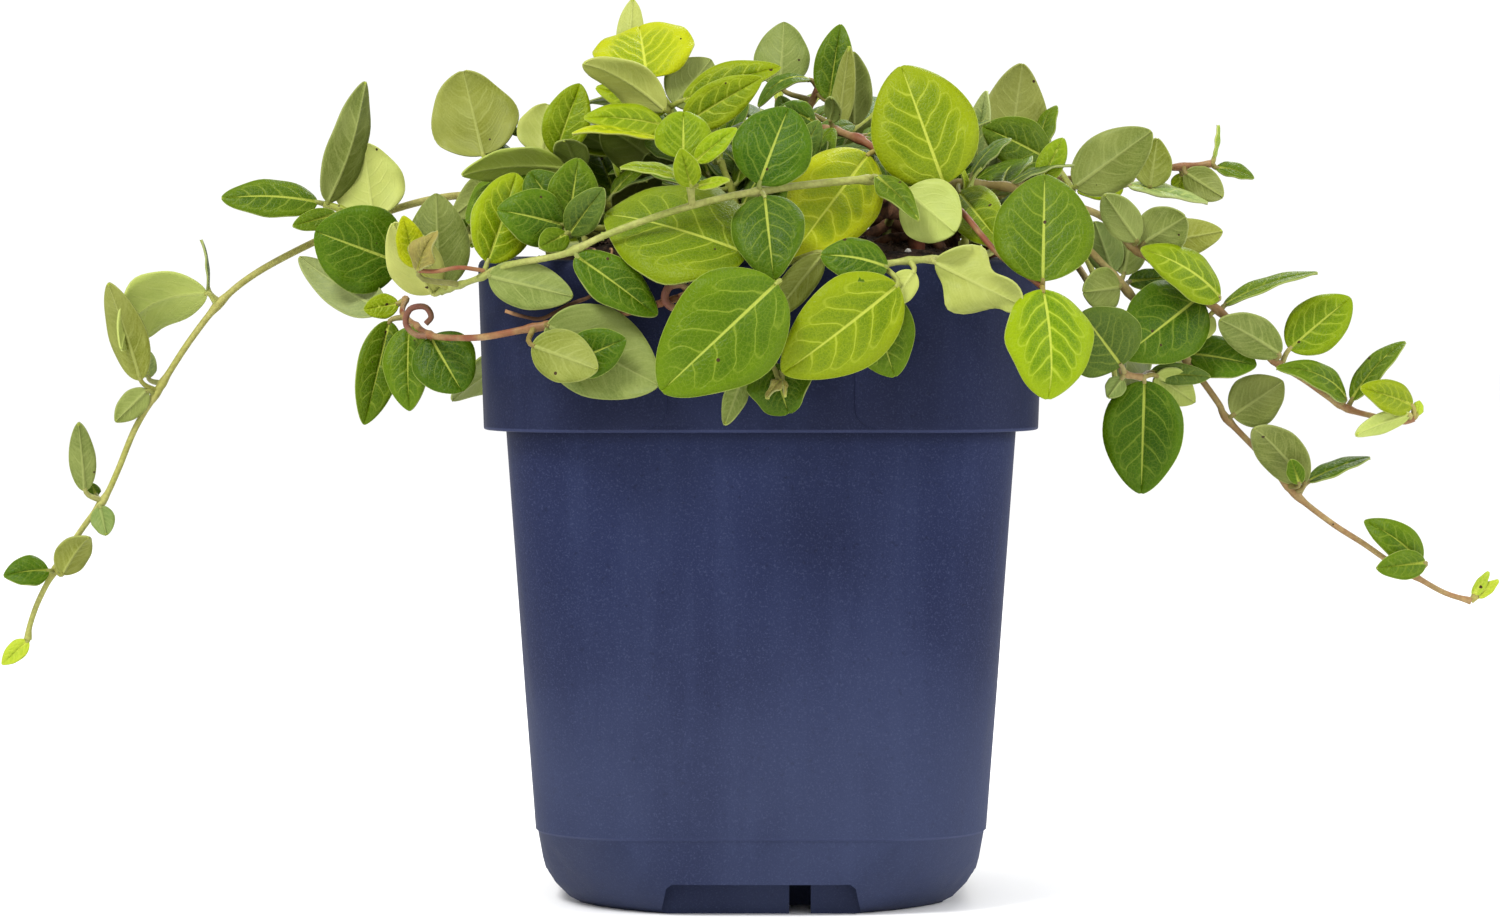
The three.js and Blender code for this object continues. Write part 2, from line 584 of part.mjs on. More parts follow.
    leaves: [
      [-43.6, 146.3, -57.3, 149.4, -54, -58, 12.5, 8, 10, 0.1],
      [-43.3, 147.2, -50.5, 157.8, -52, -49, 11, 0, 8, 0.05],
      [-42, 147, -40, 160.7, -53, -51, 11, 0, 10, 0.04],
      [-41.8, 144.4, -34.3, 154.2, -57, -60, 8, 12, 12, 0.05],
      [-42.6, 144.2, -48.5, 141.3, -58, -63, 6, 20, 6, 0],
    ],
  },
  {
    name: 'stem_back_centre',
    root: [8, 14],
    path: [[9, 160, 9], [10, 170, 5], [12.5, 176, 3]],
    leaves: [
      [4.2, 176.8, 5, 190.5, 6, 11, 12.5, 180, 8, 0.04],
      [14.8, 173.5, 17.3, 190, 1, 4, 9, -12, 16, 0],
      [16.8, 166.5, 19.3, 185.3, -3, -2, 5.5, 160, 14, 0],
      [20.2, 168, 20.2, 184, 5, 5, 8.5, 178, 8, 0],
      [10.5, 178, -0.5, 172, 2, -2, 5, 55, 0, 0.24],
      [13, 158.5, 36, 152.5, 6, 2, 10, -20, 8, 0.08],
      [6.5, 158, -14, 157.5, 6, 0, 10, -20, 8, 0.08],
    ],
  },
];

// Hidden stems at the back and the sides. They arch out of the soil, and the long ones hang over the rim.
// turn is the way each one grows, in degrees from +X. reach is its length past the rim.
const REAR_SEED = 7;
const REAR_NODE_SPACING = 27;
const SHOOT_NODE_SPACING = 12.5;
const REAR_STEMS = [
  { turn: 30, reach: 34, start: 26 },
  { turn: 62, reach: 40, start: 30 },
  { turn: 92, reach: 40, start: 28 },
  { turn: 120, reach: 40, start: 29 },
];
const REAR_SHOOTS = [
  { turn: 44, lean: 20, height: 24, start: 16 },
  { turn: 84, lean: 18, height: 27, start: 20 },
  { turn: 126, lean: 20, height: 23, start: 17 },
  { turn: 175, lean: 18, height: 16, start: 13 },
];

const rimDistance = (turn) => {
  const reach = Math.max(Math.abs(Math.cos(turn)), Math.abs(Math.sin(turn)));
  return Math.min(RIM_WIDTH / 2 / reach, RIM_WIDTH / 2 + 10);
};

const rearPath = (stem, draw) => {
  const turn = degrees(stem.turn);
  const out = new THREE.Vector3(Math.cos(turn), Math.sin(turn), 0);
  const sideways = new THREE.Vector3(-out.y, out.x, 0);
  const rim = rimDistance(turn);
  const swing = 8 * (2 * draw() - 1);
  const at = (distance, side, z) => out.clone().multiplyScalar(distance).addScaledVector(sideways, side).setZ(z);
  const points = [
    at(stem.start + 12, 0, 151),
    at(rim + 2, swing * 0.3, 150),
    at(rim + 14, swing * 0.6, 139),
    at(rim + 19, swing, 122),
  ];
  for (let drop = 22; drop < stem.reach; drop += 20) {
    points.push(at(rim + 19 + 3 * draw(), swing * (1 + drop / 60), 122 - drop));
  }
  return { root: at(stem.start, 0, 0), points };
};

const shootPath = (stem) => {
  const turn = degrees(stem.turn);
  const out = new THREE.Vector3(Math.cos(turn), Math.sin(turn), 0);
  const at = (distance, z) => out.clone().multiplyScalar(distance).setZ(z);
  const top = EYE_HEIGHT + stem.height;
  const points = [at(stem.start + 0.45 * stem.lean, (top + EYE_HEIGHT) / 2 + 4), at(stem.start + stem.lean, top)];
  return { root: at(stem.start, 0), points };
};

// Opposite pairs of leaves along a hidden stem, each pair turned against the last one
const rearLeaves = (curve, draw, firstAt, spacing) => {
  const leaves = [];
  const length = curve.getLength();
  let pair = 0;
  for (let place = firstAt; place <= length; place += spacing) {
    const share = Math.min(1, place / length);
    const node = nearestOn([curve], curve.getPointAt(share));
    const tangent = curve.getTangentAt(share);
    const out = new THREE.Vector3(node.x, node.y, 0).normalize();
    const level = new THREE.Vector3(-out.y, out.x, 0);
    const facing = out.clone().multiplyScalar(0.7).add(new THREE.Vector3(0, 0, 0.9));
    for (const hand of [-1, 1]) {
      const size = 23 + 8 * draw();
      const spread = pair % 2 === 0 ? 1 : 0.45;
      const way = level.clone().multiplyScalar(hand * spread)
        .addScaledVector(out, 0.35 + 0.5 * draw() + (pair % 2) * 0.3)
        .addScaledVector(tangent, 0.35)
        .add(new THREE.Vector3(0, 0, 0.25 * (2 * draw() - 1)))
        .normalize();
      const base = node.clone().addScaledVector(way, 3.4);
      leaves.push({
        root: node,
        base,
        tipAt: (shift) => base.clone().addScaledVector(way, size).addScaledVector(facing, 0.8 * shift),
        facingAt: (roll) => facing.clone().applyAxisAngle(way, degrees(roll)),
        width: size * (0.48 + 0.12 * draw()),
        fold: 0,
        arch: 0.08 + 0.05 * draw(),
        stations: NARROW_STATIONS,
        halves: 1,
      });
    }
    pair += 1;
  }
  return leaves;
};

// Every stem's tubes, then its leaves with the ways in which each may be bent clear
const visibleStem = (stem) => {
  const points = stem.path.map((point) => seen(...point));
  const tubes = [points];
  for (const shoot of stem.shoots ?? []) {
    const way = shoot.map((point) => seen(...point));
    way[0] = nearestOn(tubes.map(curveOf), way[0]);
    tubes.push(way);
  }
  return { name: stem.name, root: new THREE.Vector3(stem.root[0], stem.root[1], 0), tubes, rows: stem.leaves };
};

const soilTop = (x, y) => soilHeight(Math.max(Math.abs(x), Math.abs(y)) / (RIM_WIDTH / 2 - 7));

// A straight root in its hole, and the stem that goes on from its top
const withRoot = (root, points) => {
  const top = soilTop(root.x, root.y) + SOIL_BUMP + ROOT_RISE;
  const at = (z) => new THREE.Vector3(root.x, root.y, z);
  return [[at(HOLE_BOTTOM + GAP), at(top)], [at(top - ROOT_LAP), ...points]];
};

const towardEye = (point) => new THREE.Vector3(0, -EYE_DISTANCE, EYE_HEIGHT).sub(point).normalize();

const visibleLeaf = (row, curves) => {
  const [baseX, baseZ, tipX, tipZ, baseDepth, tipDepth, width, roll, fold, arch] = row;
  const base = seen(baseX, baseZ, baseDepth);
  const root = nearestOn(curves, base);
  const tipAt = (shift) => seen(tipX, tipZ, tipDepth + shift);
  const facingAt = (turn) => {
    const along = tipAt(0).sub(base).normalize();
    const front = towardEye(base);
    front.addScaledVector(along, -front.dot(along)).normalize();
    const beside = new THREE.Vector3().crossVectors(along, front);
    if (beside.x * 0.25 + beside.z < 0) beside.negate();
    const angle = degrees(roll + turn);
    return front.multiplyScalar(Math.cos(angle)).addScaledVector(beside, Math.sin(angle));
  };
  const stations = width < NARROW_WIDTH ? NARROW_STATIONS : WIDE_STATIONS;
  const halves = width < FLAT_WIDTH ? 1 : 2;
  return { root, base, tipAt, facingAt, width, fold, arch, stations, halves };
};

const SIZES = [1, 0.85, 0.7];
const TIP_SHIFTS = [0, -3, 3, -6, 6, -10, 10, -15, 15];
const ROLLS = [0, 14, -14, 28, -28];

const touches = (solid, box, others) => others.some((other) => (
  other.box.intersectsBox(box) && !solid.intersect(other.solid).isEmpty()
));

const boxOf = (solid) => {
  const { min, max } = solid.boundingBox();
  return new THREE.Box3(new THREE.Vector3(...min), new THREE.Vector3(...max));
};

// The first way to lay a leaf that clears every other piece, or null where there is none
const settle = (leaf, others) => {
  for (const size of SIZES) {
    for (const shift of TIP_SHIFTS) {
      for (const roll of ROLLS) {
        const laid = {
          root: leaf.root,
          base: leaf.base,
          tip: leaf.base.clone().lerp(leaf.tipAt(shift), size),
          facing: leaf.facingAt(roll),
          width: leaf.width * size,
          fold: leaf.fold,
          arch: leaf.arch,
          stations: leaf.stations,
          halves: leaf.halves,
        };
        const wide = leafSolid(laid, CLEARANCE);
        if (!touches(wide, boxOf(wide), others)) return leafSolid(laid, 0);
      }
    }
  }
  return null;
};

const makeFoliage = (stems, fixed) => {
  const laid = stems.map((stem) => {
    const solid = stem.paths.map((points) => tube(points, STEM_RADIUS)).reduce((sum, next) => sum.add(next));
    return { name: stem.name, pieces: [{ solid, box: boxOf(solid) }] };
  });
  stems.forEach((stem, index) => {
    const others = [...fixed, ...laid.filter((other, i) => i !== index).flatMap((other) => other.pieces)];
    for (const leaf of stem.leaves) {
      const solid = settle(leaf, others);
      if (solid !== null) laid[index].pieces.push({ solid, box: boxOf(solid) });
    }
  });
  return laid.map(({ name, pieces }) => ({
    name,
    solid: outerBody(pieces.map((piece) => piece.solid).reduce((sum, next) => sum.add(next))),
  }));
};

const stems = VISIBLE_STEMS.map(visibleStem).map(({ name, root, tubes, rows }) => {
  const paths = [...withRoot(root, tubes[0]), ...tubes.slice(1)];
  const curves = paths.map(curveOf);
  return { name, root, paths, leaves: rows.map((row) => visibleLeaf(row, curves)) };
});

const drawRear = random(REAR_SEED);
const rearPaths = [
  ...REAR_STEMS.map((stem) => ({ ...rearPath(stem, drawRear), firstAt: 27, spacing: REAR_NODE_SPACING })),
  ...REAR_SHOOTS.map((stem) => ({ ...shootPath(stem), firstAt: 10, spacing: SHOOT_NODE_SPACING })),
];
rearPaths.forEach(({ root, points, firstAt, spacing }, index) => {
  const paths = withRoot(root, points);
  stems.push({
    name: `stem_rear_${String(index + 1).padStart(2, '0')}`,
    root,
    paths,
    leaves: rearLeaves(curveOf(paths[1]), drawRear, firstAt, spacing),
  });
});

// Two stubs of old woody stem that stand in the soil
const OLD_STEM_RADIUS = 1.9;
const OLD_STEMS = [
  { name: 'old_stem_left', root: [18, -34], points: [[19, -37, 149], [24, -40, 152]] },
  { name: 'old_stem_right', root: [33, -36], points: [[31, -38, 148.5], [26.5, -42, 149.5]] },
];

const oldStems = OLD_STEMS.map(({ name, root, points }) => {
  const foot = new THREE.Vector3(root[0], root[1], 0);
  const paths = withRoot(foot, points.map((point) => new THREE.Vector3(...point)));
  const solid = paths.map((path) => tube(path, OLD_STEM_RADIUS)).reduce((sum, next) => sum.add(next));
  return { name, root: foot, solid };
});

const holes = [
  ...stems.map(({ root }) => ({ x: root.x, y: root.y, radius: STEM_RADIUS + HOLE_CLEARANCE })),
  ...oldStems.map(({ root }) => ({ x: root.x, y: root.y, radius: OLD_STEM_RADIUS + HOLE_CLEARANCE })),
];

const pot = makePot();
const soil = makeSoil(holes);
const fixed = [pot, soil, ...oldStems.map(({ solid }) => solid)].map((solid) => ({ solid, box: boxOf(solid) }));

addPiece('pot', pot, 0x343c5e, 0.62);
addPiece('soil', soil, 0x2a1f19, 0.95);
for (const { name, solid } of oldStems) addPiece(name, solid, 0x5a3a28, 0.85);
for (const { name, solid } of makeFoliage(stems, fixed)) addPiece(name, solid, 0x6f9a2c, 0.42);

export default part;
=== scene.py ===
import math

import bpy
import numpy as np
from mathutils import Euler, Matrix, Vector
from mathutils.kdtree import KDTree


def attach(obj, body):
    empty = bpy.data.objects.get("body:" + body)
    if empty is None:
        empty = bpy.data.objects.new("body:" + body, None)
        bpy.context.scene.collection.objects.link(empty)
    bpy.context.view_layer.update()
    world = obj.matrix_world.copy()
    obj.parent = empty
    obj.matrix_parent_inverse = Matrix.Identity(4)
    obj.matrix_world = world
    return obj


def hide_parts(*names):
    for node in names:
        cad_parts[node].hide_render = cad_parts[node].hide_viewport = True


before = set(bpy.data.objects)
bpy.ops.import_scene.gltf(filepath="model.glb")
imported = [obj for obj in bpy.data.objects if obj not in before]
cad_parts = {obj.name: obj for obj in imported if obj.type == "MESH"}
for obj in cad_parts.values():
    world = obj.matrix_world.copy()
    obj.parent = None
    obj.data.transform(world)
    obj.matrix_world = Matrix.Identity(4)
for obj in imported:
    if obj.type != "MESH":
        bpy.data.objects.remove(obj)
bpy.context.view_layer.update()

# The pot's sizes in millimetres, as in the part's source
POT_HEIGHT = 139
RIM_WIDTH = 120
RIM_RADIUS = 22.5
COLLAR_BOTTOM = 103
COLLAR_BOTTOM_WIDTH = 117.6
COLLAR_WALL = 1.6
COLLAR_GROOVE_TOP = 135.5
COLLAR_PANEL_WIDTH = 39
COLLAR_PANEL_DEPTH = 0.5
PARTING_HEIGHT = 16.5
WALL = 1.9
FLOOR_TOP = 9.5
NOTCH_HEIGHT = 7
NOTCH_WIDTH_LOW = 43
NOTCH_WIDTH_HIGH = 39.5
NOTCH_DEPTH = 8
DRAIN_WIDTH = 4.6
DRAIN_LENGTH = 15
DRAIN_OFFSET = 8.3
# Height, width and corner radius of the body, from the ground to the rim
BODY_SECTIONS = [
    (0, 87, 42),
    (1.4, 90.6, 42),
    (4.5, 92.9, 38),
    (10, 94.5, 29),
    (PARTING_HEIGHT, 95.9, 22),
    (PARTING_HEIGHT + 0.4, 96.8, 22),
    (46, 100.6, 18),
    (COLLAR_BOTTOM, 107.9, 14),
    (POT_HEIGHT, 109.6, 17),
]

# The soil, and the feet of the stems in it
GAP = 0.3
SOIL_EDGE_HEIGHT = 136.6
SOIL_RISE = 9
SOIL_BUMP = 0.8
SOIL_MARGIN = 7
DOME_POWER = 2.4
HOLE_BOTTOM = 126
ROOT_RISE = 1.8
ROOT_LAP = 0.6
END_INSET = 1.2
STEM_STEP = 11

# The plain blades of the CAD model, and the sizes, tip shifts and rolls that it tries to lay them clear
BLADE_THICKNESS = 0.7
OUTLINE_POWER = 0.8
OUTLINE_FULLNESS = 0.62
WIDE_STATIONS = (0.26, 0.6, 0.86)
NARROW_STATIONS = (0.3, 0.72)
NARROW_WIDTH = 10.1
FLAT_WIDTH = 6.3
SIZES = (1, 0.85, 0.7)
TIP_SHIFTS = (0, -3, 3, -6, 6, -10, 10, -15, 15)
ROLLS = (0, 14, -14, 28, -28)
# How near a vertex lies to a corner that fits, in metres, and how many corners have to fit
CORNER_REACH = 0.00012
FEWEST_CORNERS = 4

# The eye that the places of the visible stems and leaves are given from
EYE_DISTANCE = 1165
EYE_HEIGHT = 147.3
MM = 0.001

# Visible stems. path: x, z and depth of points on the stem, from the soil to the tip.
# A leaf: x and z of its base, x and z of its tip, the depths of both, its width, its roll, its fold,
# its arch and its tone. A roll of 0 turns its upper side to the front, 90 up or to the right, 180 away.
STEMS = [
    {
        "name": "stem_long_left",
        "root": (-30, 12),
        "bark": "straw",
        "path": [
            (-38, 151, 14), (-60, 152.7, 13), (-72, 151.8, 12), (-85, 148, 10), (-97.5, 142.6, 7),
            (-110, 136, 4), (-118, 129.7, 2), (-125, 121, 0), (-131.5, 111, -2), (-137, 102, -3),
            (-141, 92.5, -3), (-144, 86.3, -3), (-149, 79.5, -3), (-155, 70.5, -3), (-158.5, 64, -3),
            (-160.5, 58.5, -3), (-161, 55.3, -3),
        ],
        "leaves": [
            (-121.5, 131.3, -140.5, 119.5, 0, -8, 16, 140, 10, 0.3, "pale_under"),
            (-121, 132, -122.2, 143, 2, 6, 4, 85, 0, 0.05, "grey"),
            (-136, 112.3, -143, 133.5, -5, -8, 9, 165, 14, 0.06, "yellow_under"),
            (-134.3, 112.8, -134, 118.6, 0, 2, 3.6, 10, 0, 0, "silver"),
            (-134.5, 110, -141.5, 103.2, -4, -6, 6, 175, 8, 0.05, "olive_under"),
            (-148.3, 88, -149.6, 103, -5, -8, 6.2, 175, 15, 0.05, "olive_under"),
            (-145.8, 86.8, -147, 89.6, -1, 0, 3, 20, 0, 0, "dark"),
            (-145, 84.5, -143.6, 78.2, -4, -6, 5.4, 175, 8, 0, "green_under"),
            (-153.3, 69.6, -147.6, 78, -6, -9, 8.5, 160, 22, 0.1, "yellow_under"),
            (-156.5, 70.4, -166, 69.3, -5, -8, 7.5, 25, 10, 0.1, "dark"),
            (-161, 55, -166.6, 49.8, -3, -4, 4.4, 10, 10, 0.05, "bud"),
        ],
    },
    {
        "name": "stem_upper_left",
        "root": (-36, 2),
        "bark": "yellow_green",
        "path": [
            (-50, 147.5, -4), (-62, 143.5, -6), (-74, 143.3, -6), (-84, 146, -4), (-91, 149.3, -2),
            (-95.5, 150.8, -1),
        ],
        "leaves": [
            (-97.2, 151.2, -118, 152, -2, -5, 9.5, 35, -6, 0.08, "mid"),
            (-93, 148.5, -102.5, 146, -5, -8, 5, 20, 5, 0, "mid"),
            (-94.8, 151.2, -87, 177.5, -2, 3, 11, 150, 22, -0.1, "olive_under"),
            (-85, 148.3, -86.8, 163.7, -1, 3, 16, 180, 8, 0.04, "cream_under"),
            (-79, 138, -97.5, 144.8, -10, -14, 19.5, 0, 5, 0.06, "dark"),
        ],
    },
    {
        "name": "stem_front_left",
        "root": (27, -22),
        "bark": "pale",
        "path": [
            (30, 153, -42), (25.5, 156, -52.5), (12, 155.2, -57.5), (0, 153.6, -61.5), (-8, 152.2, -64),
            (-20, 149, -67), (-34, 144, -67), (-43, 139.9, -66), (-55, 137.5, -62), (-62, 134.5, -56),
            (-70, 131.7, -46),
        ],
        "leaves": [
            (-0.3, 155.4, 6, 171.7, -63, -58, 17, 5, 8, 0.06, "dark"),
            (0.8, 152.4, 2.8, 134.8, -64, -74, 15.5, 0, 8, 0.08, "dark"),
            (-40.3, 139.3, -22.8, 126.3, -67, -68, 10.5, 15, 8, 0.05, "dark"),
            (-59.5, 135, -41.3, 130.6, -61, -67, 10, 178, 5, 0.04, "olive_under"),
            (-59.8, 138.3, -53.5, 157.5, -55, -48, 14, -15, 10, 0.05, "lime"),
            (-17, 161, -17, 170.9, -68, -65, 12, 0, 8, 0.04, "fresh"),
            (-14.3, 160, -5.5, 167.3, -69, -70, 5, 20, 12, 0.05, "lime"),
            (-15.3, 154.8, -17.6, 162.7, -71, -74, 6, 0, 18, 0.05, "lime"),
            (-17.5, 157, -30.6, 159, -70, -74, 5, 60, 8, 0.05, "lime"),
            (-14, 154.6, -7, 156.2, -70, -73, 2.8, 40, 8, 0, "lime"),
            (-70.3, 132.3, -71, 153, -42, -38, 14, 175, 14, -0.06, "deep_under"),
            (-72, 131.2, -80.5, 147, -44, -52, 12, 170, 18, -0.12, "cream_under"),
            (-75.5, 137, -78.3, 148, -52, -55, 6.5, 10, 12, 0, "yellow"),
            (25.2, 156.8, 34.5, 147.6, -56, -68, 5.5, 25, 8, 0.06, "mid"),
        ],
        "shoots": [
            [(-15, 150.6, -67), (-15.4, 154.4, -68.5), (-15.8, 160.5, -67.5)],
        ],
    },
    {
        "name": "stem_front_red",
        "root": (-3, -41),
        "bark": "red",
        "path": [
            (-4, 144.5, -56), (-7, 137, -65.5), (-12, 132.6, -66), (-19, 130, -66), (-30, 127, -66),
            (-45, 124.5, -65.5), (-51, 123.5, -65), (-60, 121.8, -62), (-66, 121.5, -54),
            (-72, 122, -44), (-76, 124.5, -34), (-78.5, 127, -24), (-77.8, 130, -17),
        ],
        "leaves": [
            (-50, 119.8, -35.8, 114.6, -72, -76, 11, 172, 6, 0.05, "yellow_under"),
            (-42.5, 115.8, -29.6, 121.3, -70, -73, 10, 5, 5, 0, "dark"),
            (-46.8, 124.2, -22.5, 111.2, -68, -70, 19, 180, 5, 0.05, "olive_under"),
            (-72.3, 121.5, -65.5, 109.7, -42, -46, 14, 0, 8, 0.06, "dark"),
            (-77, 123.7, -77, 105.6, -36, -40, 11, -20, 16, 0.06, "mid"),
            (-81.5, 125, -87, 102.5, -28, -31, 10, 8, 14, 0.05, "mid"),
            (-79.5, 129, -87, 127.7, -17, -18, 5.5, 10, 5, 0, "lime"),
            (-83, 127.5, -100.5, 138.5, -15, -3, 10, 178, 8, 0.06, "grey_under"),
        ],
    },
    {
        "name": "stem_front_centre",
        "root": (4, -38),
        "bark": "yellow_green",
        "path": [
            (1.5, 146, -53), (1, 141.4, -61), (2.5, 135, -68.5), (2.8, 124, -69), (2.5, 116.5, -66.5),
        ],
        "leaves": [
            (3.4, 133.5, -21.5, 110, -78, -82, 23.5, 0, 6, 0.05, "deep_lime"),
            (-3, 140, -34, 149, -68, -62, 28.5, 12, 4, 0.04, "fresh"),
            (-3.5, 114, -8, 102.5, -66.5, -68, 5, 178, 10, 0, "olive_under"),
            (2.6, 115.5, 6, 105.2, -68, -70, 13, 0, 8, 0.05, "dark"),
            (13.5, 139.6, 2.5, 125.6, -69, -73, 7, 165, 10, 0.08, "yellow_under"),
        ],
    },
    {
        "name": "stem_front_right",
        "root": (43, -30),
        "bark": "pale",
        "path": [
            (50, 148.5, -48), (51, 140.8, -59), (42, 138.9, -64), (34.5, 138.6, -66), (28, 137.8, -68),
            (24, 136.3, -70),
        ],
        "leaves": [
            (29.8, 133, 5, 113.8, -72, -74, 19, -8, 6, 0.06, "green_gold"),
            (27.5, 137, 13.2, 139.6, -71, -68, 10, 30, -8, 0.12, "dark"),
            (33.5, 136, 27.8, 128.4, -69, -71, 6, 172, 8, 0, "pale_under"),
            (38.2, 138, 57.5, 128.6, -68, -74, 11.5, 172, 6, -0.05, "pale_under"),
            (23.5, 131, 29.3, 113.2, -68, -68, 14.5, 0, 6, 0.05, "mid"),
        ],
    },
    {
        "name": "stem_red_right",
        "root": (5, -6),
        "bark": "red",
        "path": [
            (7.5, 160, -16), (13, 166.8, -24), (20, 165.5, -32), (24, 163.5, -36), (35, 156.5, -48),
            (43.5, 149.5, -58), (51, 140.8, -67), (57, 136, -69.5), (61.5, 133, -70),
        ],
        "leaves": [
            (61.7, 134, 62, 157.3, -71, -62, 21, 0, 6, 0.05, "mid"),
            (61.7, 131.8, 63.5, 108.5, -72, -76, 19.5, 0, 8, 0.08, "lime"),
            (40, 155.3, 30.5, 181, -56, -50, 22.5, 0, 6, 0.05, "lime"),
            (32, 153.4, 42.5, 144.6, -58, -64, 14, 176, 10, 0.05, "pale_under"),
            (23.3, 161.5, 6.6, 139.2, -39, -62.5, 19, 0, 6, 0.03, "yellow"),
            (11.5, 168.5, 3.2, 171, -26, -26, 7, 30, 12, 0.2, "dark"),
        ],
    },
    {
        "name": "stem_long_right",
        "root": (37, -12),
        "bark": "tan",
        "path": [
            (40, 153, -34), (43.6, 155.2, -38), (56, 154.2, -36), (70, 150, -32), (76, 147, -30),
            (81.8, 141, -28), (88, 137.3, -26), (95, 132, -24), (99.5, 128, -23), (105, 123.5, -22),
            (109, 119.5, -21), (113, 116, -20), (119, 112.3, -18), (127.5, 106.5, -16),
            (134, 104.4, -15), (140, 103.2, -15), (143, 104, -15),
        ],
        "leaves": [
            (43.5, 153.2, 53, 141.5, -43, -50, 11, 0, 6, 0.05, "fresh"),
            (82.3, 142.8, 75, 153, -30, -36, 8, 178, 10, 0.05, "olive_under"),
            (83.7, 142.3, 92.8, 148, -29, -32, 11, 176, 8, 0.05, "olive_under"),
            (86, 142.2, 101, 144.9, -23, -20, 8.5, 178, 6, 0.05, "yellow_under"),
            (100.3, 130.5, 83.5, 141, -26, -33, 10.5, 30, -6, 0.14, "fresh"),
            (101.5, 128.7, 121.8, 135.7, -22, -20, 6.5, 62, 8, 0.07, "mid"),
            (113.6, 118, 100.5, 125.5, -22, -28, 9.5, 168, 8, 0.12, "olive_under"),
            (96, 130.5, 79.5, 117.5, -22, -34, 18, 0, 6, 0.05, "dark"),
            (98.3, 126.5, 95.6, 120.8, -22, -21, 5, 178, 5, 0, "pale_under"),
            (115.8, 119.2, 129, 130.3, -18, -14, 12, 8, 6, 0.05, "fresh"),
            (128, 108.3, 113.6, 115.2, -18, -25, 7.5, 40, 6, 0.18, "mid"),
            (129.5, 108, 141, 120.7, -15, -12, 6.5, 38, 8, 0.1, "mid"),
            (142.6, 106.8, 131.8, 110.5, -16, -22, 7.5, 15, 6, 0.06, "lime"),
            (142, 104.8, 130, 100.4, -17, -22, 4.6, 160, 8, 0.05, "pale_under"),
            (143.6, 104.5, 144.2, 107.8, -15, -15, 2.6, 0, 8, 0, "bud"),
        ],
    },
    {
        "name": "stem_low_right",
        "root": (46, 0),
        "bark": "tan",
        "path": [
            (57, 150.5, -18), (65, 146.6, -25), (71.5, 141, -28), (77.8, 134.4, -27), (81.7, 130, -25),
            (92.5, 117.5, -19), (100, 107.5, -17), (101.9, 104, -17), (110, 95.5, -16),
            (117, 87.4, -15), (125, 81, -14), (132, 76.5, -13), (137.5, 72.7, -12), (143.5, 69.2, -12),
            (150, 65.6, -12), (155.8, 63.8, -12),
        ],
        "leaves": [
            (77, 135.8, 73, 147, -24, -20, 8, 178, 8, 0, "green_under"),
            (79.4, 135.4, 81.5, 147, -24, -20, 8, 178, 8, 0, "olive_under"),
            (78.5, 132.6, 70.4, 131.5, -28, -33, 9.5, 178, 6, 0, "olive_under"),
            (80.5, 133.8, 91, 135, -22, -18, 5, 20, 5, 0, "dark"),
            (94, 118, 108.5, 115.5, -18, -20, 10.5, 0, 6, 0.05, "dark"),
            (103.5, 104.6, 114.3, 112, -18, -14, 11.5, 178, 6, 0.05, "olive_under"),
            (119.2, 89.8, 108, 102, -17, -24, 10, 165, 8, 0.12, "olive_under"),
            (118, 89.6, 116.2, 95, -19, -20, 4, 10, 5, 0, "dark"),
            (120, 90, 133.5, 95.3, -13, -9, 6, 55, 8, 0.05, "dark"),
            (144.6, 72.4, 132.5, 81.3, -13, -14, 8, 15, 8, 0.22, "mid"),
            (145.6, 72.2, 135, 71, -17, -22, 6.5, 5, 6, 0.05, "mid"),
            (156.3, 64.8, 159.5, 70.2, -12, -12, 2.4, 10, 5, 0, "bud"),
            (157, 64.6, 161.7, 68.4, -12, -12, 2.6, 10, 5, 0, "bud"),
        ],
    },
    {
        "name": "stem_hanging_right",
        "root": (44, 14),
        "bark": "tan",
        "path": [
            (60, 145.5, 6), (69, 137.5, -4), (75, 127, -15), (78.6, 119, -24), (79.3, 114, -31),
            (83.5, 112.9, -31),
        ],
        "leaves": [
            (78.8, 115.6, 70.3, 127, -35, -41, 17, 0, 6, 0.05, "grey"),
            (84, 112, 83.4, 87.5, -31, -31, 17.5, 0, 8, 0.05, "dark"),
            (79, 112.6, 76, 108.5, -32, -34, 4.4, 178, 5, 0, "green_under"),
            (86.5, 113.3, 95, 107.5, -28, -22, 8, 178, 5, 0.05, "spotted"),
            (85.5, 114, 98.5, 113, -27, -20, 5, 10, 5, 0, "grey"),
        ],
    },
    {
        "name": "stem_upper_right",
        "root": (36, 8),
        "bark": "yellow_green",
        "path": [
            (47, 150, 2), (53.5, 155.4, -1), (60, 159, -5), (64, 159.4, -9), (68.3, 153.8, -13),
        ],
        "leaves": [
            (53.7, 157, 57, 181, 0, 5, 15.5, 180, 6, 0.04, "yellow_under"),
            (62.7, 160.6, 48.5, 167.6, -11, -15, 12, 15, 8, 0.06, "mid"),
            (68.8, 154.6, 85.3, 166.7, -15, -17, 13, 178, 6, 0.05, "olive_under"),
            (47.2, 154, 49.4, 175.5, -4, -7, 8.5, -40, 14, 0.05, "silver"),
        ],
    },
    {
        "name": "stem_back_right",
        "root": (40, 22),
        "bark": "tan",
        "path": [
            (56, 154.5, 20), (70, 156.5, 16), (80, 158.3, 12), (88, 158.6, 8), (98.5, 159.6, 6),
        ],
        "leaves": [
            (85, 154.5, 86.6, 165, 2, 2, 8.5, 178, 8, 0, "yellow_under"),
            (80.5, 154.8, 97.7, 150.8, 3, 0, 6.5, 60, 10, 0.03, "silver"),
            (79, 154.6, 69.5, 153.5, 4, 0, 6, 20, 6, 0.05, "lime"),
            (92.8, 157.6, 101, 152.3, 5, 2, 7.5, 178, 8, 0.05, "olive_under"),
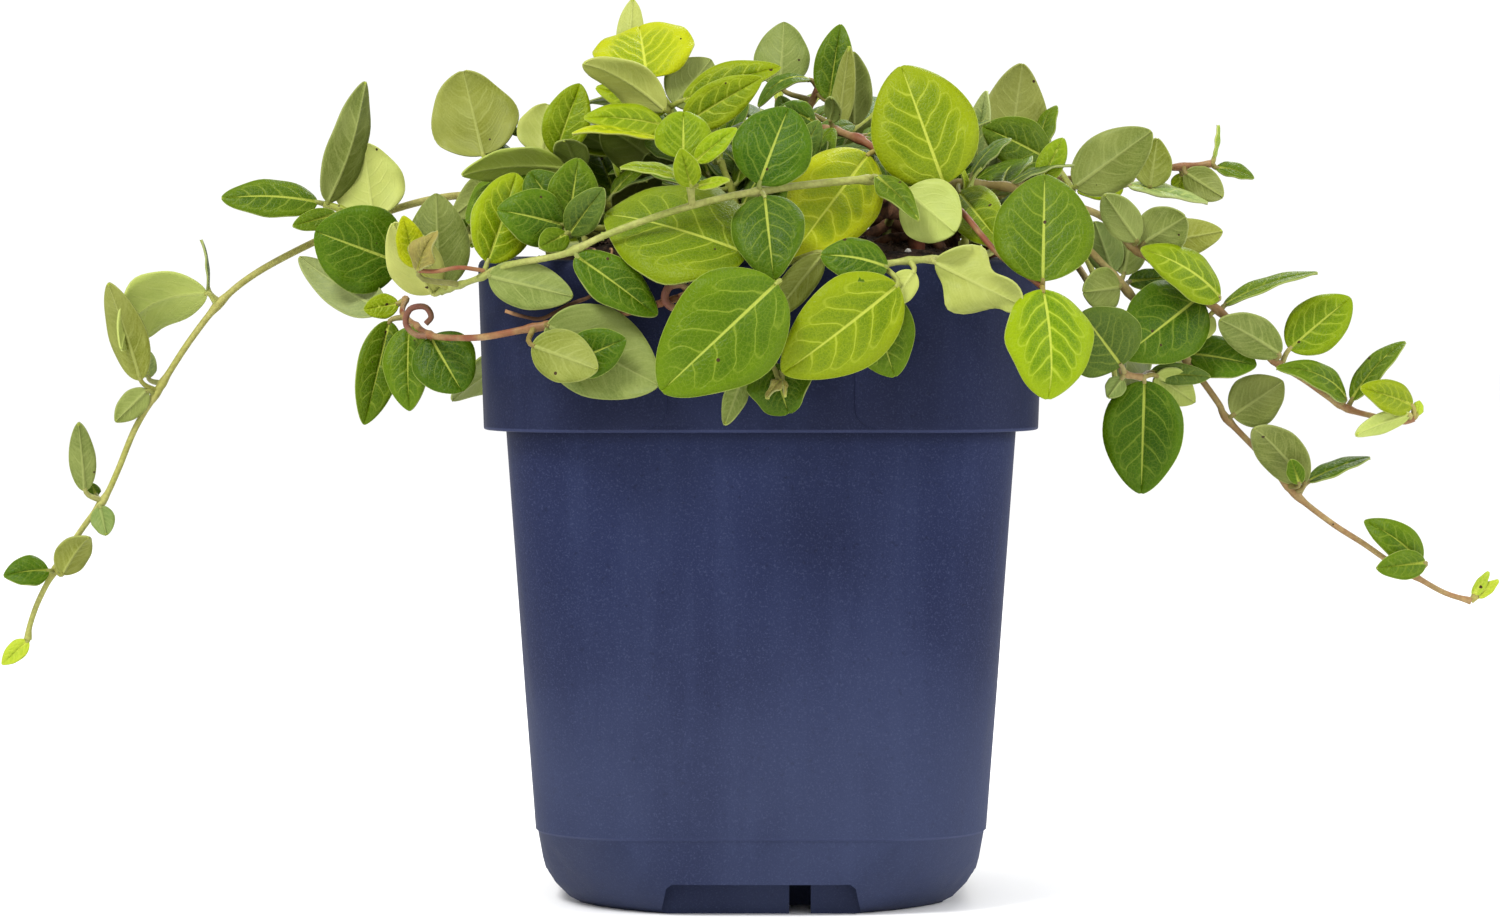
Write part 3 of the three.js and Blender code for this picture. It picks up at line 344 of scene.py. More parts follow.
            (99.6, 158.6, 107.7, 156.5, 6, 6, 5, 50, 6, 0.1, "mid"),
            (99, 160.6, 100, 168, 6, 8, 4, 82, 0, 0.05, "pale_under"),
            (92, 157.4, 91, 152.6, 8, 10, 4, 0, 5, 0, "lime"),
        ],
    },
    {
        "name": "stem_top_centre",
        "root": (-6, -4),
        "bark": "yellow_green",
        "path": [
            (-12, 156, -18), (-18, 166, -26), (-20, 171.4, -28), (-23.5, 177.6, -26),
        ],
        "leaves": [
            (-25, 178.6, -26.5, 189.2, -27, -13, 22, 5, 8, 0.06, "yellow"),
            (-21, 171.2, -38.6, 181.8, -31, -36, 10, 150, 12, 0.12, "pale_under"),
            (-21, 171, -36, 176.5, -27, -24, 7, 20, 6, 0, "lime"),
            (-18.8, 172.6, -11, 182.3, -25, -20, 12, 178, 8, 0, "olive_under"),
            (-16.8, 173.5, 4.3, 180.7, -31, -34, 8.5, 25, 10, 0.08, "lime"),
            (-16.8, 168.3, 0, 178.3, -35, -39, 9.5, 5, 12, 0.05, "lime"),
            (-29, 183, -28, 195.5, -12, -8, 6, 178, 8, 0, "pale_under"),
            (-21.5, 168, -38.3, 169.8, -33, -38, 8, 30, 8, 0.06, "lime"),
            (-22, 165, -41, 166.8, -35, -44, 5.5, 68, 8, 0.05, "yellow"),
        ],
    },
    {
        "name": "stem_mid_left",
        "root": (-22, -8),
        "bark": "yellow_green",
        "path": [
            (-33, 150, -15), (-41.5, 158, -18), (-48, 160.8, -18), (-60, 160.6, -14),
        ],
        "leaves": [
            (-60.8, 161.6, -65, 179.3, -12, -6, 19, 180, 6, 0.04, "yellow_under"),
            (-43, 158.6, -65.5, 157.3, -24, -30, 10, 140, 10, 0.08, "moss_under"),
            (-48, 162, -46.5, 172.2, -15, -10, 12, 180, 6, 0, "pale_under"),
            (-45, 161.8, -39.5, 177, -22, -20, 10.5, 0, 14, 0.04, "fresh"),
            (-55, 158, -67.5, 148, -12, -8, 8, 178, 8, 0.05, "olive_under"),
        ],
    },
    {
        "name": "stem_tuft_left",
        "root": (-29, -25),
        "bark": "yellow_green",
        "path": [
            (-36, 145.5, -43), (-42.6, 146, -52),
        ],
        "leaves": [
            (-43.6, 146.3, -57.3, 149.4, -54, -58, 12.5, 8, 10, 0.1, "dark"),
            (-43.3, 147.2, -50.5, 157.8, -52, -49, 11, 0, 8, 0.05, "dark"),
            (-42, 147, -40, 160.7, -53, -51, 11, 0, 10, 0.04, "mid"),
            (-41.8, 144.4, -34.3, 154.2, -57, -60, 8, 12, 12, 0.05, "grey"),
            (-42.6, 144.2, -48.5, 141.3, -58, -63, 6, 20, 6, 0, "mid"),
        ],
    },
    {
        "name": "stem_back_centre",
        "root": (8, 14),
        "bark": "tan",
        "path": [
            (9, 160, 9), (10, 170, 5), (12.5, 176, 3),
        ],
        "leaves": [
            (4.2, 176.8, 5, 190.5, 6, 11, 12.5, 180, 8, 0.04, "olive_under"),
            (14.8, 173.5, 17.3, 190, 1, 4, 9, -12, 16, 0, "mid"),
            (16.8, 166.5, 19.3, 185.3, -3, -2, 5.5, 160, 14, 0, "yellow_under"),
            (20.2, 168, 20.2, 184, 5, 5, 8.5, 178, 8, 0, "olive_under"),
            (10.5, 178, -0.5, 172, 2, -2, 5, 55, 0, 0.24, "dark"),
            (13, 158.5, 36, 152.5, 6, 2, 10, -20, 8, 0.08, "dark"),
            (6.5, 158, -14, 157.5, 6, 0, 10, -20, 8, 0.08, "dark"),
        ],
    },
]

# Hidden stems at the back and the sides, by the rule and the seed of the part's source
REAR_SEED = 7
REAR_SWING = 8
REAR_PETIOLE = 3.4
REAR_SHORTEST = 23
REAR_LENGTH_SPREAD = 8
REAR_FIRST_NODE = 27
REAR_NODE_SPACING = 27
SHOOT_FIRST_NODE = 10
SHOOT_NODE_SPACING = 12.5
# Over the rim: how far past it a hidden stem is, its share of the sideways swing, and its height
REAR_WAY = ((2, 0.3, 150), (14, 0.6, 139), (19, 1, 122))
REAR_STEMS = [
    {"turn": 30, "reach": 34, "start": 26},
    {"turn": 62, "reach": 40, "start": 30},
    {"turn": 92, "reach": 40, "start": 28},
    {"turn": 120, "reach": 40, "start": 29},
]
REAR_SHOOTS = [
    {"turn": 44, "lean": 20, "height": 24, "start": 16},
    {"turn": 84, "lean": 18, "height": 27, "start": 20},
    {"turn": 126, "lean": 20, "height": 23, "start": 17},
    {"turn": 175, "lean": 18, "height": 16, "start": 13},
]


def screen(red, green, blue):
    """A screen colour of 0 to 255 a channel, as the linear colour that the shaders take."""
    return tuple((channel / 255) ** 2.2 for channel in (red, green, blue))


# For each tone, the colours of a leaf's upper side and of its underside
TONES = {
    "dark": (screen(50, 75, 5), screen(92, 106, 46)),
    "mid": (screen(61, 83, 7), screen(100, 114, 48)),
    "fresh": (screen(88, 108, 8), screen(116, 130, 52)),
    "deep_lime": (screen(64, 86, 2), screen(116, 130, 52)),
    "green_gold": (screen(100, 117, 1), screen(130, 140, 58)),
    "lime": (screen(98, 117, 10), screen(134, 144, 60)),
    "yellow": (screen(122, 134, 4), screen(148, 154, 62)),
    "grey": (screen(60, 80, 32), screen(106, 118, 70)),
    "silver": (screen(114, 130, 88), screen(148, 156, 104)),
    "spotted": (screen(98, 118, 18), screen(128, 140, 58)),
    "bud": (screen(122, 140, 42), screen(136, 150, 62)),
    "withered": (screen(107, 102, 62), screen(104, 98, 60)),
    "pale_under": (screen(96, 120, 16), screen(150, 159, 76)),
    "yellow_under": (screen(96, 118, 16), screen(101, 108, 34)),
    "olive_under": (screen(58, 80, 14), screen(94, 106, 44)),
    "moss_under": (screen(66, 90, 14), screen(124, 140, 46)),
    "deep_under": (screen(56, 78, 12), screen(80, 91, 30)),
    "green_under": (screen(56, 80, 16), screen(86, 108, 48)),
    "grey_under": (screen(54, 74, 26), screen(124, 136, 82)),
    "cream_under": (screen(88, 110, 24), screen(168, 172, 88)),
}
REAR_TONES = ("dark", "mid", "fresh", "mid", "lime", "dark", "mid")

# The colours of the stems, at the foot and at the tip
BARKS = {
    "yellow_green": (screen(134, 138, 54), screen(138, 150, 54)),
    "straw": (screen(156, 148, 82), screen(146, 150, 72)),
    "pale": (screen(138, 142, 74), screen(142, 152, 76)),
    "red": (screen(116, 64, 44), screen(122, 70, 50)),
    "tan": (screen(122, 116, 62), screen(134, 92, 66)),
}


def seeded(seed):
    """Numbers from 0 to 1, drawn as in the part's source."""
    state = seed
    while True:
        state = (state * 1664525 + 1013904223) % 4294967296
        yield state / 4294967296


def unit(vector):
    return vector / np.linalg.norm(vector)


def point(x, y, z):
    return np.array([x, y, z], dtype=float)


def seen(x, z, depth):
    """A point seen at x and z on the plane through the pot's axis, but lying at another depth."""
    scale = 1 + depth / EYE_DISTANCE
    return point(x * scale, depth, EYE_HEIGHT + (z - EYE_HEIGHT) * scale)


class Path:
    """A smooth curve through points, measured along its length."""

    PARTS = 200

    def __init__(self, points):
        self.points = points
        marks = [self.at(i / self.PARTS) for i in range(self.PARTS + 1)]
        steps = [np.linalg.norm(b - a) for a, b in zip(marks, marks[1:])]
        self.lengths = np.concatenate([[0], np.cumsum(steps)])
        self.length = self.lengths[-1]

    def at(self, t):
        """The point at t, which goes from 0 to 1 by equal parts between the given points."""
        points = self.points
        place = (len(points) - 1) * t
        index = min(int(place), len(points) - 2)
        weight = place - index
        p1 = points[index]
        p2 = points[index + 1]
        p0 = points[index - 1] if index > 0 else 2 * points[0] - points[1]
        p3 = points[index + 2] if index + 2 < len(points) else 2 * points[-1] - points[-2]
        t0 = 0.5 * (p2 - p0)
        t1 = 0.5 * (p3 - p1)
        square = -3 * p1 + 3 * p2 - 2 * t0 - t1
        cube = 2 * p1 - 2 * p2 + t0 + t1
        return p1 + weight * (t0 + weight * (square + weight * cube))

    def t_of(self, share):
        """The t at a share of the length."""
        return np.interp(share * self.length, self.lengths, np.linspace(0, 1, self.PARTS + 1))

    def point_at(self, share):
        return self.at(self.t_of(share))

    def way_at(self, share):
        t = self.t_of(share)
        return unit(self.at(min(1, t + 0.0001)) - self.at(max(0, t - 0.0001)))

    def spaced(self, step):
        """Points at equal distances that are close to the step, with both ends."""
        count = max(1, int(math.floor(self.length / step + 0.5)))
        return [self.point_at(i / count) for i in range(count + 1)]


def nearest_on(paths, place):
    """The point of the coarse stems that is nearest to a place, and not at the very end of one."""
    best = None
    for path in paths:
        points = path.spaced(STEM_STEP)
        points[-1] = points[-1] + END_INSET * unit(points[-2] - points[-1])
        for a, b in zip(points, points[1:]):
            span = b - a
            share = min(1, max(0, np.dot(place - a, span) / np.dot(span, span)))
            near = a + share * span
            gap = np.linalg.norm(near - place)
            if best is None or gap < best[0]:
                best = (gap, near)
    return best[1]


def soil_height(share):
    """The height of the domed soil at a share of the way from the middle to the wall."""
    return SOIL_EDGE_HEIGHT + SOIL_RISE * (1 - share ** DOME_POWER)


def soil_top(x, y):
    return soil_height(max(abs(x), abs(y)) / (RIM_WIDTH / 2 - SOIL_MARGIN))


def with_root(root, points):
    """The points of a stem's upright foot in the soil, and those of the stem itself, which laps it."""
    top = soil_top(root[0], root[1]) + SOIL_BUMP + ROOT_RISE
    foot = point(root[0], root[1], HOLE_BOTTOM + GAP)
    return [[foot, point(root[0], root[1], top)], [point(root[0], root[1], top - ROOT_LAP), *points]]


def visible_leaf(row):
    """A leaf from its row in the table of stems."""
    base_x, base_z, tip_x, tip_z, base_depth, tip_depth, width, roll, fold, arch, tone = row
    base = seen(base_x, base_z, base_depth)

    def tip_at(shift):
        return seen(tip_x, tip_z, tip_depth + shift)

    def facing_at(turn):
        along = unit(tip_at(0) - base)
        front = unit(point(0, -EYE_DISTANCE, EYE_HEIGHT) - base)
        front = unit(front - along * np.dot(front, along))
        beside = np.cross(along, front)
        if beside[0] * 0.25 + beside[2] < 0:
            beside = -beside
        angle = math.radians(roll + turn)
        return front * math.cos(angle) + beside * math.sin(angle)

    return {
        "base": base, "tip_at": tip_at, "facing_at": facing_at, "width": width, "fold": fold,
        "arch": arch, "tone": tone, "halves": 1 if width < FLAT_WIDTH else 2,
        "stations": NARROW_STATIONS if width < NARROW_WIDTH else WIDE_STATIONS,
    }


def rim_distance(turn):
    """How far the rim is from the pot's axis in a direction."""
    reach = max(abs(math.cos(turn)), abs(math.sin(turn)))
    return min(RIM_WIDTH / 2 / reach, RIM_WIDTH / 2 + 10)


def rear_path(stem, draws):
    """The root and the way of a hidden stem that arches over the rim and hangs down."""
    turn = math.radians(stem["turn"])
    out = point(math.cos(turn), math.sin(turn), 0)
    sideways = point(-out[1], out[0], 0)
    rim = rim_distance(turn)
    swing = REAR_SWING * (2 * next(draws) - 1)

    def at(distance, side, z):
        return out * distance + sideways * side + point(0, 0, z)

    points = [at(stem["start"] + 12, 0, 151)]
    points += [at(rim + past, swing * share, height) for past, share, height in REAR_WAY]
    past, unused, height = REAR_WAY[-1]
    for drop in range(22, stem["reach"], 20):
        points.append(at(rim + past + 3 * next(draws), swing * (1 + drop / 60), height - drop))
    return at(stem["start"], 0, 0), points


def shoot_path(stem):
    """The root and the way of a hidden shoot that rises and leans outward."""
    turn = math.radians(stem["turn"])
    out = point(math.cos(turn), math.sin(turn), 0)
    top = EYE_HEIGHT + stem["height"]
    points = [
        out * (stem["start"] + 0.45 * stem["lean"]) + point(0, 0, (top + EYE_HEIGHT) / 2 + 4),
        out * (stem["start"] + stem["lean"]) + point(0, 0, top),
    ]
    return out * stem["start"], points


def turned(vector, axis, angle):
    """The vector, turned about a unit axis."""
    turn = math.radians(angle)
    level = np.cross(axis, vector)
    return (vector * math.cos(turn) + level * math.sin(turn)
            + axis * np.dot(axis, vector) * (1 - math.cos(turn)))


def rear_leaf(base, way, facing, size, width, arch, tone):
    """A flat leaf that reaches from its base along a way."""
    return {
        "base": base, "width": width, "fold": 0, "arch": arch, "tone": tone, "halves": 1,
        "stations": NARROW_STATIONS,
        "tip_at": lambda shift: base + way * size + facing * 0.8 * shift,
        "facing_at": lambda roll: turned(facing, way, roll),
    }


def rear_leaves(path, draws, first_at, spacing):
    """Opposite pairs of leaves along a hidden stem, each pair turned against the last one."""
    leaves = []
    pair = 0
    place = first_at
    while place <= path.length:
        share = min(1, place / path.length)
        node = nearest_on([path], path.point_at(share))
        tangent = path.way_at(share)
        out = unit(point(node[0], node[1], 0))
        level = point(-out[1], out[0], 0)
        facing = out * 0.7 + point(0, 0, 0.9)
        for hand in (-1, 1):
            size = REAR_SHORTEST + REAR_LENGTH_SPREAD * next(draws)
            spread = 1 if pair % 2 == 0 else 0.45
            way = level * hand * spread
            way = way + out * (0.35 + 0.5 * next(draws) + (pair % 2) * 0.3)
            way = way + tangent * 0.35
            way = unit(way + point(0, 0, 0.25 * (2 * next(draws) - 1)))
            width = size * (0.48 + 0.12 * next(draws))
            arch = 0.08 + 0.05 * next(draws)
            tone = REAR_TONES[(3 * pair + hand + len(leaves)) % len(REAR_TONES)]
            base = node + way * REAR_PETIOLE
            leaves.append(rear_leaf(base, way, facing, size, width, arch, tone))
        pair += 1
        place += spacing
    return leaves


def all_stems():
    """Each leafy stem's paths, leaves and bark, in the order of the part's source."""
    stems = []
    for stem in STEMS:
        tubes = [[seen(*place) for place in stem["path"]]]
        for shoot in stem.get("shoots", []):
            way = [seen(*place) for place in shoot]
            way[0] = nearest_on([Path(points) for points in tubes], way[0])
            tubes.append(way)
        paths = [Path(points) for points in with_root(stem["root"], tubes[0]) + tubes[1:]]
        leaves = [visible_leaf(row) for row in stem["leaves"]]
        stems.append({"name": stem["name"], "paths": paths, "leaves": leaves, "bark": stem["bark"]})
    draws = seeded(REAR_SEED)
    rear = [(*rear_path(stem, draws), REAR_FIRST_NODE, REAR_NODE_SPACING) for stem in REAR_STEMS]
    rear += [(*shoot_path(stem), SHOOT_FIRST_NODE, SHOOT_NODE_SPACING) for stem in REAR_SHOOTS]
    for index, (root, points, first_at, spacing) in enumerate(rear):
        paths = [Path(way) for way in with_root(root, points)]
        leaves = rear_leaves(paths[1], draws, first_at, spacing)
        stems.append({
            "name": f"stem_rear_{index + 1:02d}", "paths": paths, "leaves": leaves,
            "bark": "tan" if index % 2 else "yellow_green",
        })
    return stems


def blade_outline(along):
    """The half width of a blade along its length, as a share of half its greatest width."""
    return math.sin(math.pi * along ** OUTLINE_POWER) ** OUTLINE_FULLNESS


def blade_frame(leaf, size, shift, roll):
    """How a leaf lies when it is bent clear in one way: its base, reach, up and width."""
    base = leaf["base"]
    reach = (leaf["tip_at"](shift) - base) * size
    along = unit(reach)
    facing = leaf["facing_at"](roll)
    up = unit(facing - along * np.dot(facing, along))
    return base, reach, up, leaf["width"] * size


def coarse_corners(leaf, laid):
    """The corners of the leaf's plain blade in the CAD model."""
    base, reach, up, width = laid
    length = np.linalg.norm(reach)
    across = np.cross(unit(reach), up)
    fold = math.radians(leaf["fold"])
    sides = (-1, 1) if leaf["halves"] == 1 else (-1, 0, 1)
    corners = [base + reach + up * lift * BLADE_THICKNESS / 2 for lift in (-1, 1)]
    for share in leaf["stations"]:
        middle = base + reach * share + up * leaf["arch"] * length * 4 * share * (1 - share)
        half = width / 2 * blade_outline(share)
        for side in sides:
            edge = middle + across * side * half * math.cos(fold)
            edge = edge + up * abs(side) * half * math.sin(fold)
            corners += [edge + up * lift * BLADE_THICKNESS / 2 for lift in (-1, 1)]
    return corners


def laid_leaf(leaf, tree):
    """The way in which the CAD model lays the leaf, or None where it has no room for it."""
    best = (0, None)
    for size in SIZES:
        for shift in TIP_SHIFTS:
            for roll in ROLLS:
                laid = blade_frame(leaf, size, shift, roll)
                gaps = [tree.find(corner * MM)[2] for corner in coarse_corners(leaf, laid)]
                found = sum(gap < CORNER_REACH for gap in gaps)
                if found > best[0]:
                    best = (found, laid)
    return best[1] if best[0] >= FEWEST_CORNERS else None


def corner_tree(node):
    """The vertices of a CAD node, to look up the one that is nearest to a place."""
    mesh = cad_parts[node].data
    tree = KDTree(len(mesh.vertices))
    for index, vertex in enumerate(mesh.vertices):
        tree.insert(vertex.co, index)
    tree.balance()
    return tree


class Wire:
    """A socket in a node tree. An expression on wires and numbers adds the maths nodes that it needs."""

    def __init__(self, tree, socket):
        self.tree = tree
        self.socket = socket

    def out(self, name):
        return Wire(self.tree, self.socket.node.outputs[name])

    def worked(self, operation, first, second=None):
        wires = [side for side in (first, second) if isinstance(side, Wire)]
        vector = any(wire.socket.type in ("VECTOR", "RGBA") for wire in wires)
        kind = "ShaderNodeVectorMath" if vector else "ShaderNodeMath"
        sides = [first] if second is None else [first, second]
        if vector:
            sides = [side if isinstance(side, (Wire, tuple)) else (side,) * 3 for side in sides]
        return add(self.tree, kind, {"operation": operation}, dict(enumerate(sides)))

    def __add__(self, other):
        return self.worked("ADD", self, other)

    def __radd__(self, other):
        return self.worked("ADD", other, self)

    def __sub__(self, other):
        return self.worked("SUBTRACT", self, other)

    def __rsub__(self, other):
        return self.worked("SUBTRACT", other, self)

    def __mul__(self, other):
        return self.worked("MULTIPLY", self, other)

    def __rmul__(self, other):
        return self.worked("MULTIPLY", other, self)

    def __truediv__(self, other):
        return self.worked("DIVIDE", self, other)

    def __rtruediv__(self, other):
        return self.worked("DIVIDE", other, self)

    def __pow__(self, other):
        return self.worked("POWER", self, other)

    def __abs__(self):
        return self.worked("ABSOLUTE", self)

    def sine(self):
        return self.worked("SINE", self)

    def cosine(self):
        return self.worked("COSINE", self)

    def fraction(self):
        return self.worked("FRACT", self)

    def at_least(self, other):
        return self.worked("MAXIMUM", self, other)

    def at_most(self, other):
        return self.worked("MINIMUM", self, other)

    def above(self, other):
        return self.worked("GREATER_THAN", self, other)

    def cross(self, other):
        return self.worked("CROSS_PRODUCT", self, other)

    def parts(self):
        """The x, y and z of a vector."""
        split = add(self.tree, "ShaderNodeSeparateXYZ", {}, {"Vector": self})
        return split, split.out("Y"), split.out("Z")

    def ramped(self, low, high, start=0.0, end=1.0):
        """A smooth change from start to end as the value goes from low to high."""
        return add(self.tree, "ShaderNodeMapRange", {"interpolation_type": "SMOOTHSTEP"}, {
            "Value": self, "From Min": low, "From Max": high, "To Min": start, "To Max": end,
        })


def find_socket(sockets, key):
    """The enabled socket of a name, or the one at a place in the row of enabled sockets."""
    shown = [socket for socket in sockets if socket.enabled]
    if isinstance(key, int):
        return shown[key]
    return next(socket for socket in shown if socket.name == key)


def add(tree, kind, settings=None, sockets=None):
    """Adds a node, sets its settings, then its sockets, and gives its first output."""
    node = tree.nodes.new(kind)
    for name, value in (settings or {}).items():
        if name == "stops":
            ramp = node.color_ramp
            while len(ramp.elements) < len(value):
                ramp.elements.new(0.5)
            for element, (place, color) in zip(ramp.elements, value):
                element.position = place
                element.color = (*color, 1)
        else:
            setattr(node, name, value)
    for key, value in (sockets or {}).items():
        socket = find_socket(node.inputs, key)
        for one in value if isinstance(value, list) else [value]:
            if isinstance(one, Wire):
                tree.links.new(one.socket, socket)
            else:
                socket.default_value = one
    shown = [socket for socket in node.outputs if socket.enabled]
    return Wire(tree, shown[0]) if shown else node


def mixed(factor, first, second):
    """A mix of two colours."""
    tree = next(side for side in (factor, first, second) if isinstance(side, Wire)).tree
    colors = [side if isinstance(side, Wire) else (*side, 1) for side in (first, second)]
    return add(tree, "ShaderNodeMix", {"data_type": "RGBA"}, {
        "Factor": factor, "A": colors[0], "B": colors[1],
    })


def named(tree, name, kind="FLOAT"):
    """An attribute of the geometry, in a geometry tree."""
    return add(tree, "GeometryNodeInputNamedAttribute", {"data_type": kind}, {"Name": name})


def stored(geometry, name, value, kind="FLOAT", domain="POINT"):
    """The geometry with a value stored as its attribute."""
    settings = {"data_type": kind, "domain": domain}
    return add(geometry.tree, "GeometryNodeStoreNamedAttribute", settings, {
        "Geometry": geometry, "Name": name, "Value": value,
    })


def geometry_tree(name, sizes, materials):
    """A geometry tree with named inputs, its input wire, and the identifiers of its sockets."""
    tree = bpy.data.node_groups.new(name, "GeometryNodeTree")
    tree.interface.new_socket("Geometry", in_out="INPUT", socket_type="NodeSocketGeometry")
    kinds = [(label, "NodeSocketFloat") for label in sizes]
    kinds += [(label, "NodeSocketMaterial") for label in materials]
    keys = {}
    for label, kind in kinds:
        keys[label] = tree.interface.new_socket(label, in_out="INPUT", socket_type=kind).identifier
    tree.interface.new_socket("Geometry", in_out="OUTPUT", socket_type="NodeSocketGeometry")
    return tree, add(tree, "NodeGroupInput"), keys


def grown(obj, tree, keys, values):
    """Gives an object the plain mesh that a geometry tree makes of it, in place of its own."""
    modifier = obj.modifiers.new(tree.name, "NODES")
    modifier.node_group = tree
    for label, value in values.items():
        modifier[keys[label]] = value
    bpy.context.view_layer.update()
    depsgraph = bpy.context.evaluated_depsgraph_get()
    mesh = bpy.data.meshes.new_from_object(obj.evaluated_get(depsgraph))
    obj.modifiers.remove(modifier)
    obj.data = mesh
    mesh.name = obj.name


def placed(name, data):
    """A new object in the scene, at the origin."""
    obj = bpy.data.objects.new(name, data)
    bpy.context.scene.collection.objects.link(obj)
    return obj


# Leafy stems

STEM_SEED = 311
STEM_WIDTH = 1.9
TIP_STEM_WIDTH = 1.25
SHOOT_STEM_WIDTH = TIP_STEM_WIDTH + 0.3
STEM_POINT_SPACING = 1.0
STALK_POINT_SPACING = 0.6
PETIOLE_ROOT_WIDTH = 1.35
PETIOLE_END_WIDTH = 1.0
PETIOLE_STEPS = 6
NODE_SWELLING = 0.45
SWELLING_REACH = 1.5
TUBE_SIDES = 8
BLADE_STEPS = 26
BLADE_COLUMNS = 13
# How near points are joined, in metres: at a sheet's pointed ends, and where a blade's two faces meet
END_MERGE = 0.00002
FACE_MERGE = 0.00001
TONE_SPREAD = 0.14
# The blades' thickness and groove in metres, and how strongly their other forms show
BLADE_FORM = {
    "Blade thickness": 0.0004,
    "Groove depth": 0.0003,
    "Margin droop": 0.12,
    "Twist": 0.3,
    "Ripple": 0.06,
    "Tip curl": 0.5,
}
LEAFY_MATERIALS = ("Stalk", "Upper side", "Underside")
# What each point of a stem's lines carries
NUMBERS = ("is_leaf", "broad", "fold", "bow", "phase", "crumple")
VECTORS = ("foot", "reach", "rise")
TINTS = ("tint", "under_tint")
# What the materials don't read, and the finished piece doesn't keep
WORKING_VALUES = (
    *VECTORS, "thick", "is_leaf", "broad", "fold", "bow", "crumple", "sheet_place", "blade", "upper",
)


def tubes_along(tree, given):
    """A round tube along each line, as thick as its points say."""
    paths = add(tree, "GeometryNodeMeshToCurve", {}, {"Mesh": given})
    ring = add(tree, "GeometryNodeCurvePrimitiveCircle", {}, {"Resolution": TUBE_SIDES, "Radius": 1.0})
    tubes = add(tree, "GeometryNodeCurveToMesh", {}, {
        "Curve": paths, "Profile Curve": ring, "Scale": named(tree, "thick"), "Fill Caps": True,
    })
    return add(tree, "GeometryNodeSetShadeSmooth", {}, {"Geometry": tubes})


def flat_sheets(tree, given):
    """A flat sheet for each leaf point, which keeps where its own points lie on it."""
    sheet = add(tree, "GeometryNodeMeshGrid", {}, {
        "Size X": 1.0, "Size Y": 2.0, "Vertices X": BLADE_STEPS + 1, "Vertices Y": BLADE_COLUMNS,
    })
    flat = add(tree, "GeometryNodeInputPosition")
    sheet = stored(sheet, "sheet_place", flat, "FLOAT_VECTOR")
    sheet = add(tree, "GeometryNodeInstanceOnPoints", {}, {
        "Points": given, "Instance": sheet, "Selection": named(tree, "is_leaf").above(0.5),
    })
    return add(tree, "GeometryNodeRealizeInstances", {}, {"Geometry": sheet})


def blade_half_width(tree, share, side, length):
    """Half a blade's width along its length. A broad leaf is fuller, and a crumpled one is uneven."""
    broad = named(tree, "broad")
    fullness = OUTLINE_FULLNESS - (broad / length).ramped(0.88, 1.1, 0, 0.14)
    outline = (math.pi * share ** OUTLINE_POWER).sine().at_least(0) ** fullness
    uneven = named(tree, "crumple") * 0.14 * (share * 10 + side * 2.4 + named(tree, "phase")).sine()
    return (broad * 0.5 * (outline * (1 + uneven))).at_least(0.00055 * (1 - share))


def blade_lift(given, share, side, half, length):
    """How far a blade's points stand off its plane, by its arch, fold, waves, tip curl and twist."""
    tree = given.tree
    phase = named(tree, "phase")
    lift = named(tree, "bow") * length * 4 * share * (1 - share)
    lift = lift + abs(side) * half * named(tree, "fold").sine()
    lift = lift - side ** 2 * half * given.out("Margin droop") * (phase + 0.5)
    lift = lift - (1 - (abs(side) * 4).at_most(1)) ** 2 * given.out("Groove depth")
    wave = (share * 15 + phase * 6.28 + side * 2.2).sine() * side ** 2
    lift = lift + wave * half * given.out("Ripple")
    crease = (share * 9.5 + phase * 6.28 + side * 1.8).sine() * side ** 2
    lift = lift + crease * half * named(tree, "crumple") * 0.38
    lift = lift - (share - 0.72).at_least(0) ** 2 * length * given.out("Tip curl") * (phase * 2 - 0.5)
    lift = lift - given.out("Blade thickness") * 0.5
    twist = (share - 0.15) * (phase - 0.5) * given.out("Twist") * 2
    return lift + side * half * twist


def shaped_sheets(sheet, given):
    """The flat sheets, each laid and bent as its leaf."""
    tree = given.tree
    x, y, unused = named(tree, "sheet_place", "FLOAT_VECTOR").parts()
    reach = named(tree, "reach", "FLOAT_VECTOR")
    rise = named(tree, "rise", "FLOAT_VECTOR")
    length = add(tree, "ShaderNodeVectorMath", {"operation": "LENGTH"}, {0: reach}).out("Value")
    across = rise.cross(reach / length)
    share = 0.5 - (math.pi * (x + 0.5)).cosine() * 0.5
    side = abs(y) ** 1.4 * y.worked("SIGN", y)
    half = blade_half_width(tree, share, side, length)
    lift = blade_lift(given, share, side, half, length)
    place = named(tree, "foot", "FLOAT_VECTOR") + reach * share
    place = place + across * (side * half * named(tree, "fold").cosine()) + rise * lift
    measured = add(tree, "ShaderNodeCombineXYZ", {}, {
        "X": share * length * 1000, "Y": side * half * 1000, "Z": side,
    })
    sheet = stored(sheet, "leaf_mm", measured, "FLOAT_VECTOR")
    sheet = stored(sheet, "along", share)
    sheet = add(tree, "GeometryNodeSetPosition", {}, {"Geometry": sheet, "Position": place})
    sheet = add(tree, "GeometryNodeMergeByDistance", {}, {"Geometry": sheet, "Distance": END_MERGE})
    return add(tree, "GeometryNodeSetShadeSmooth", {}, {"Geometry": sheet})


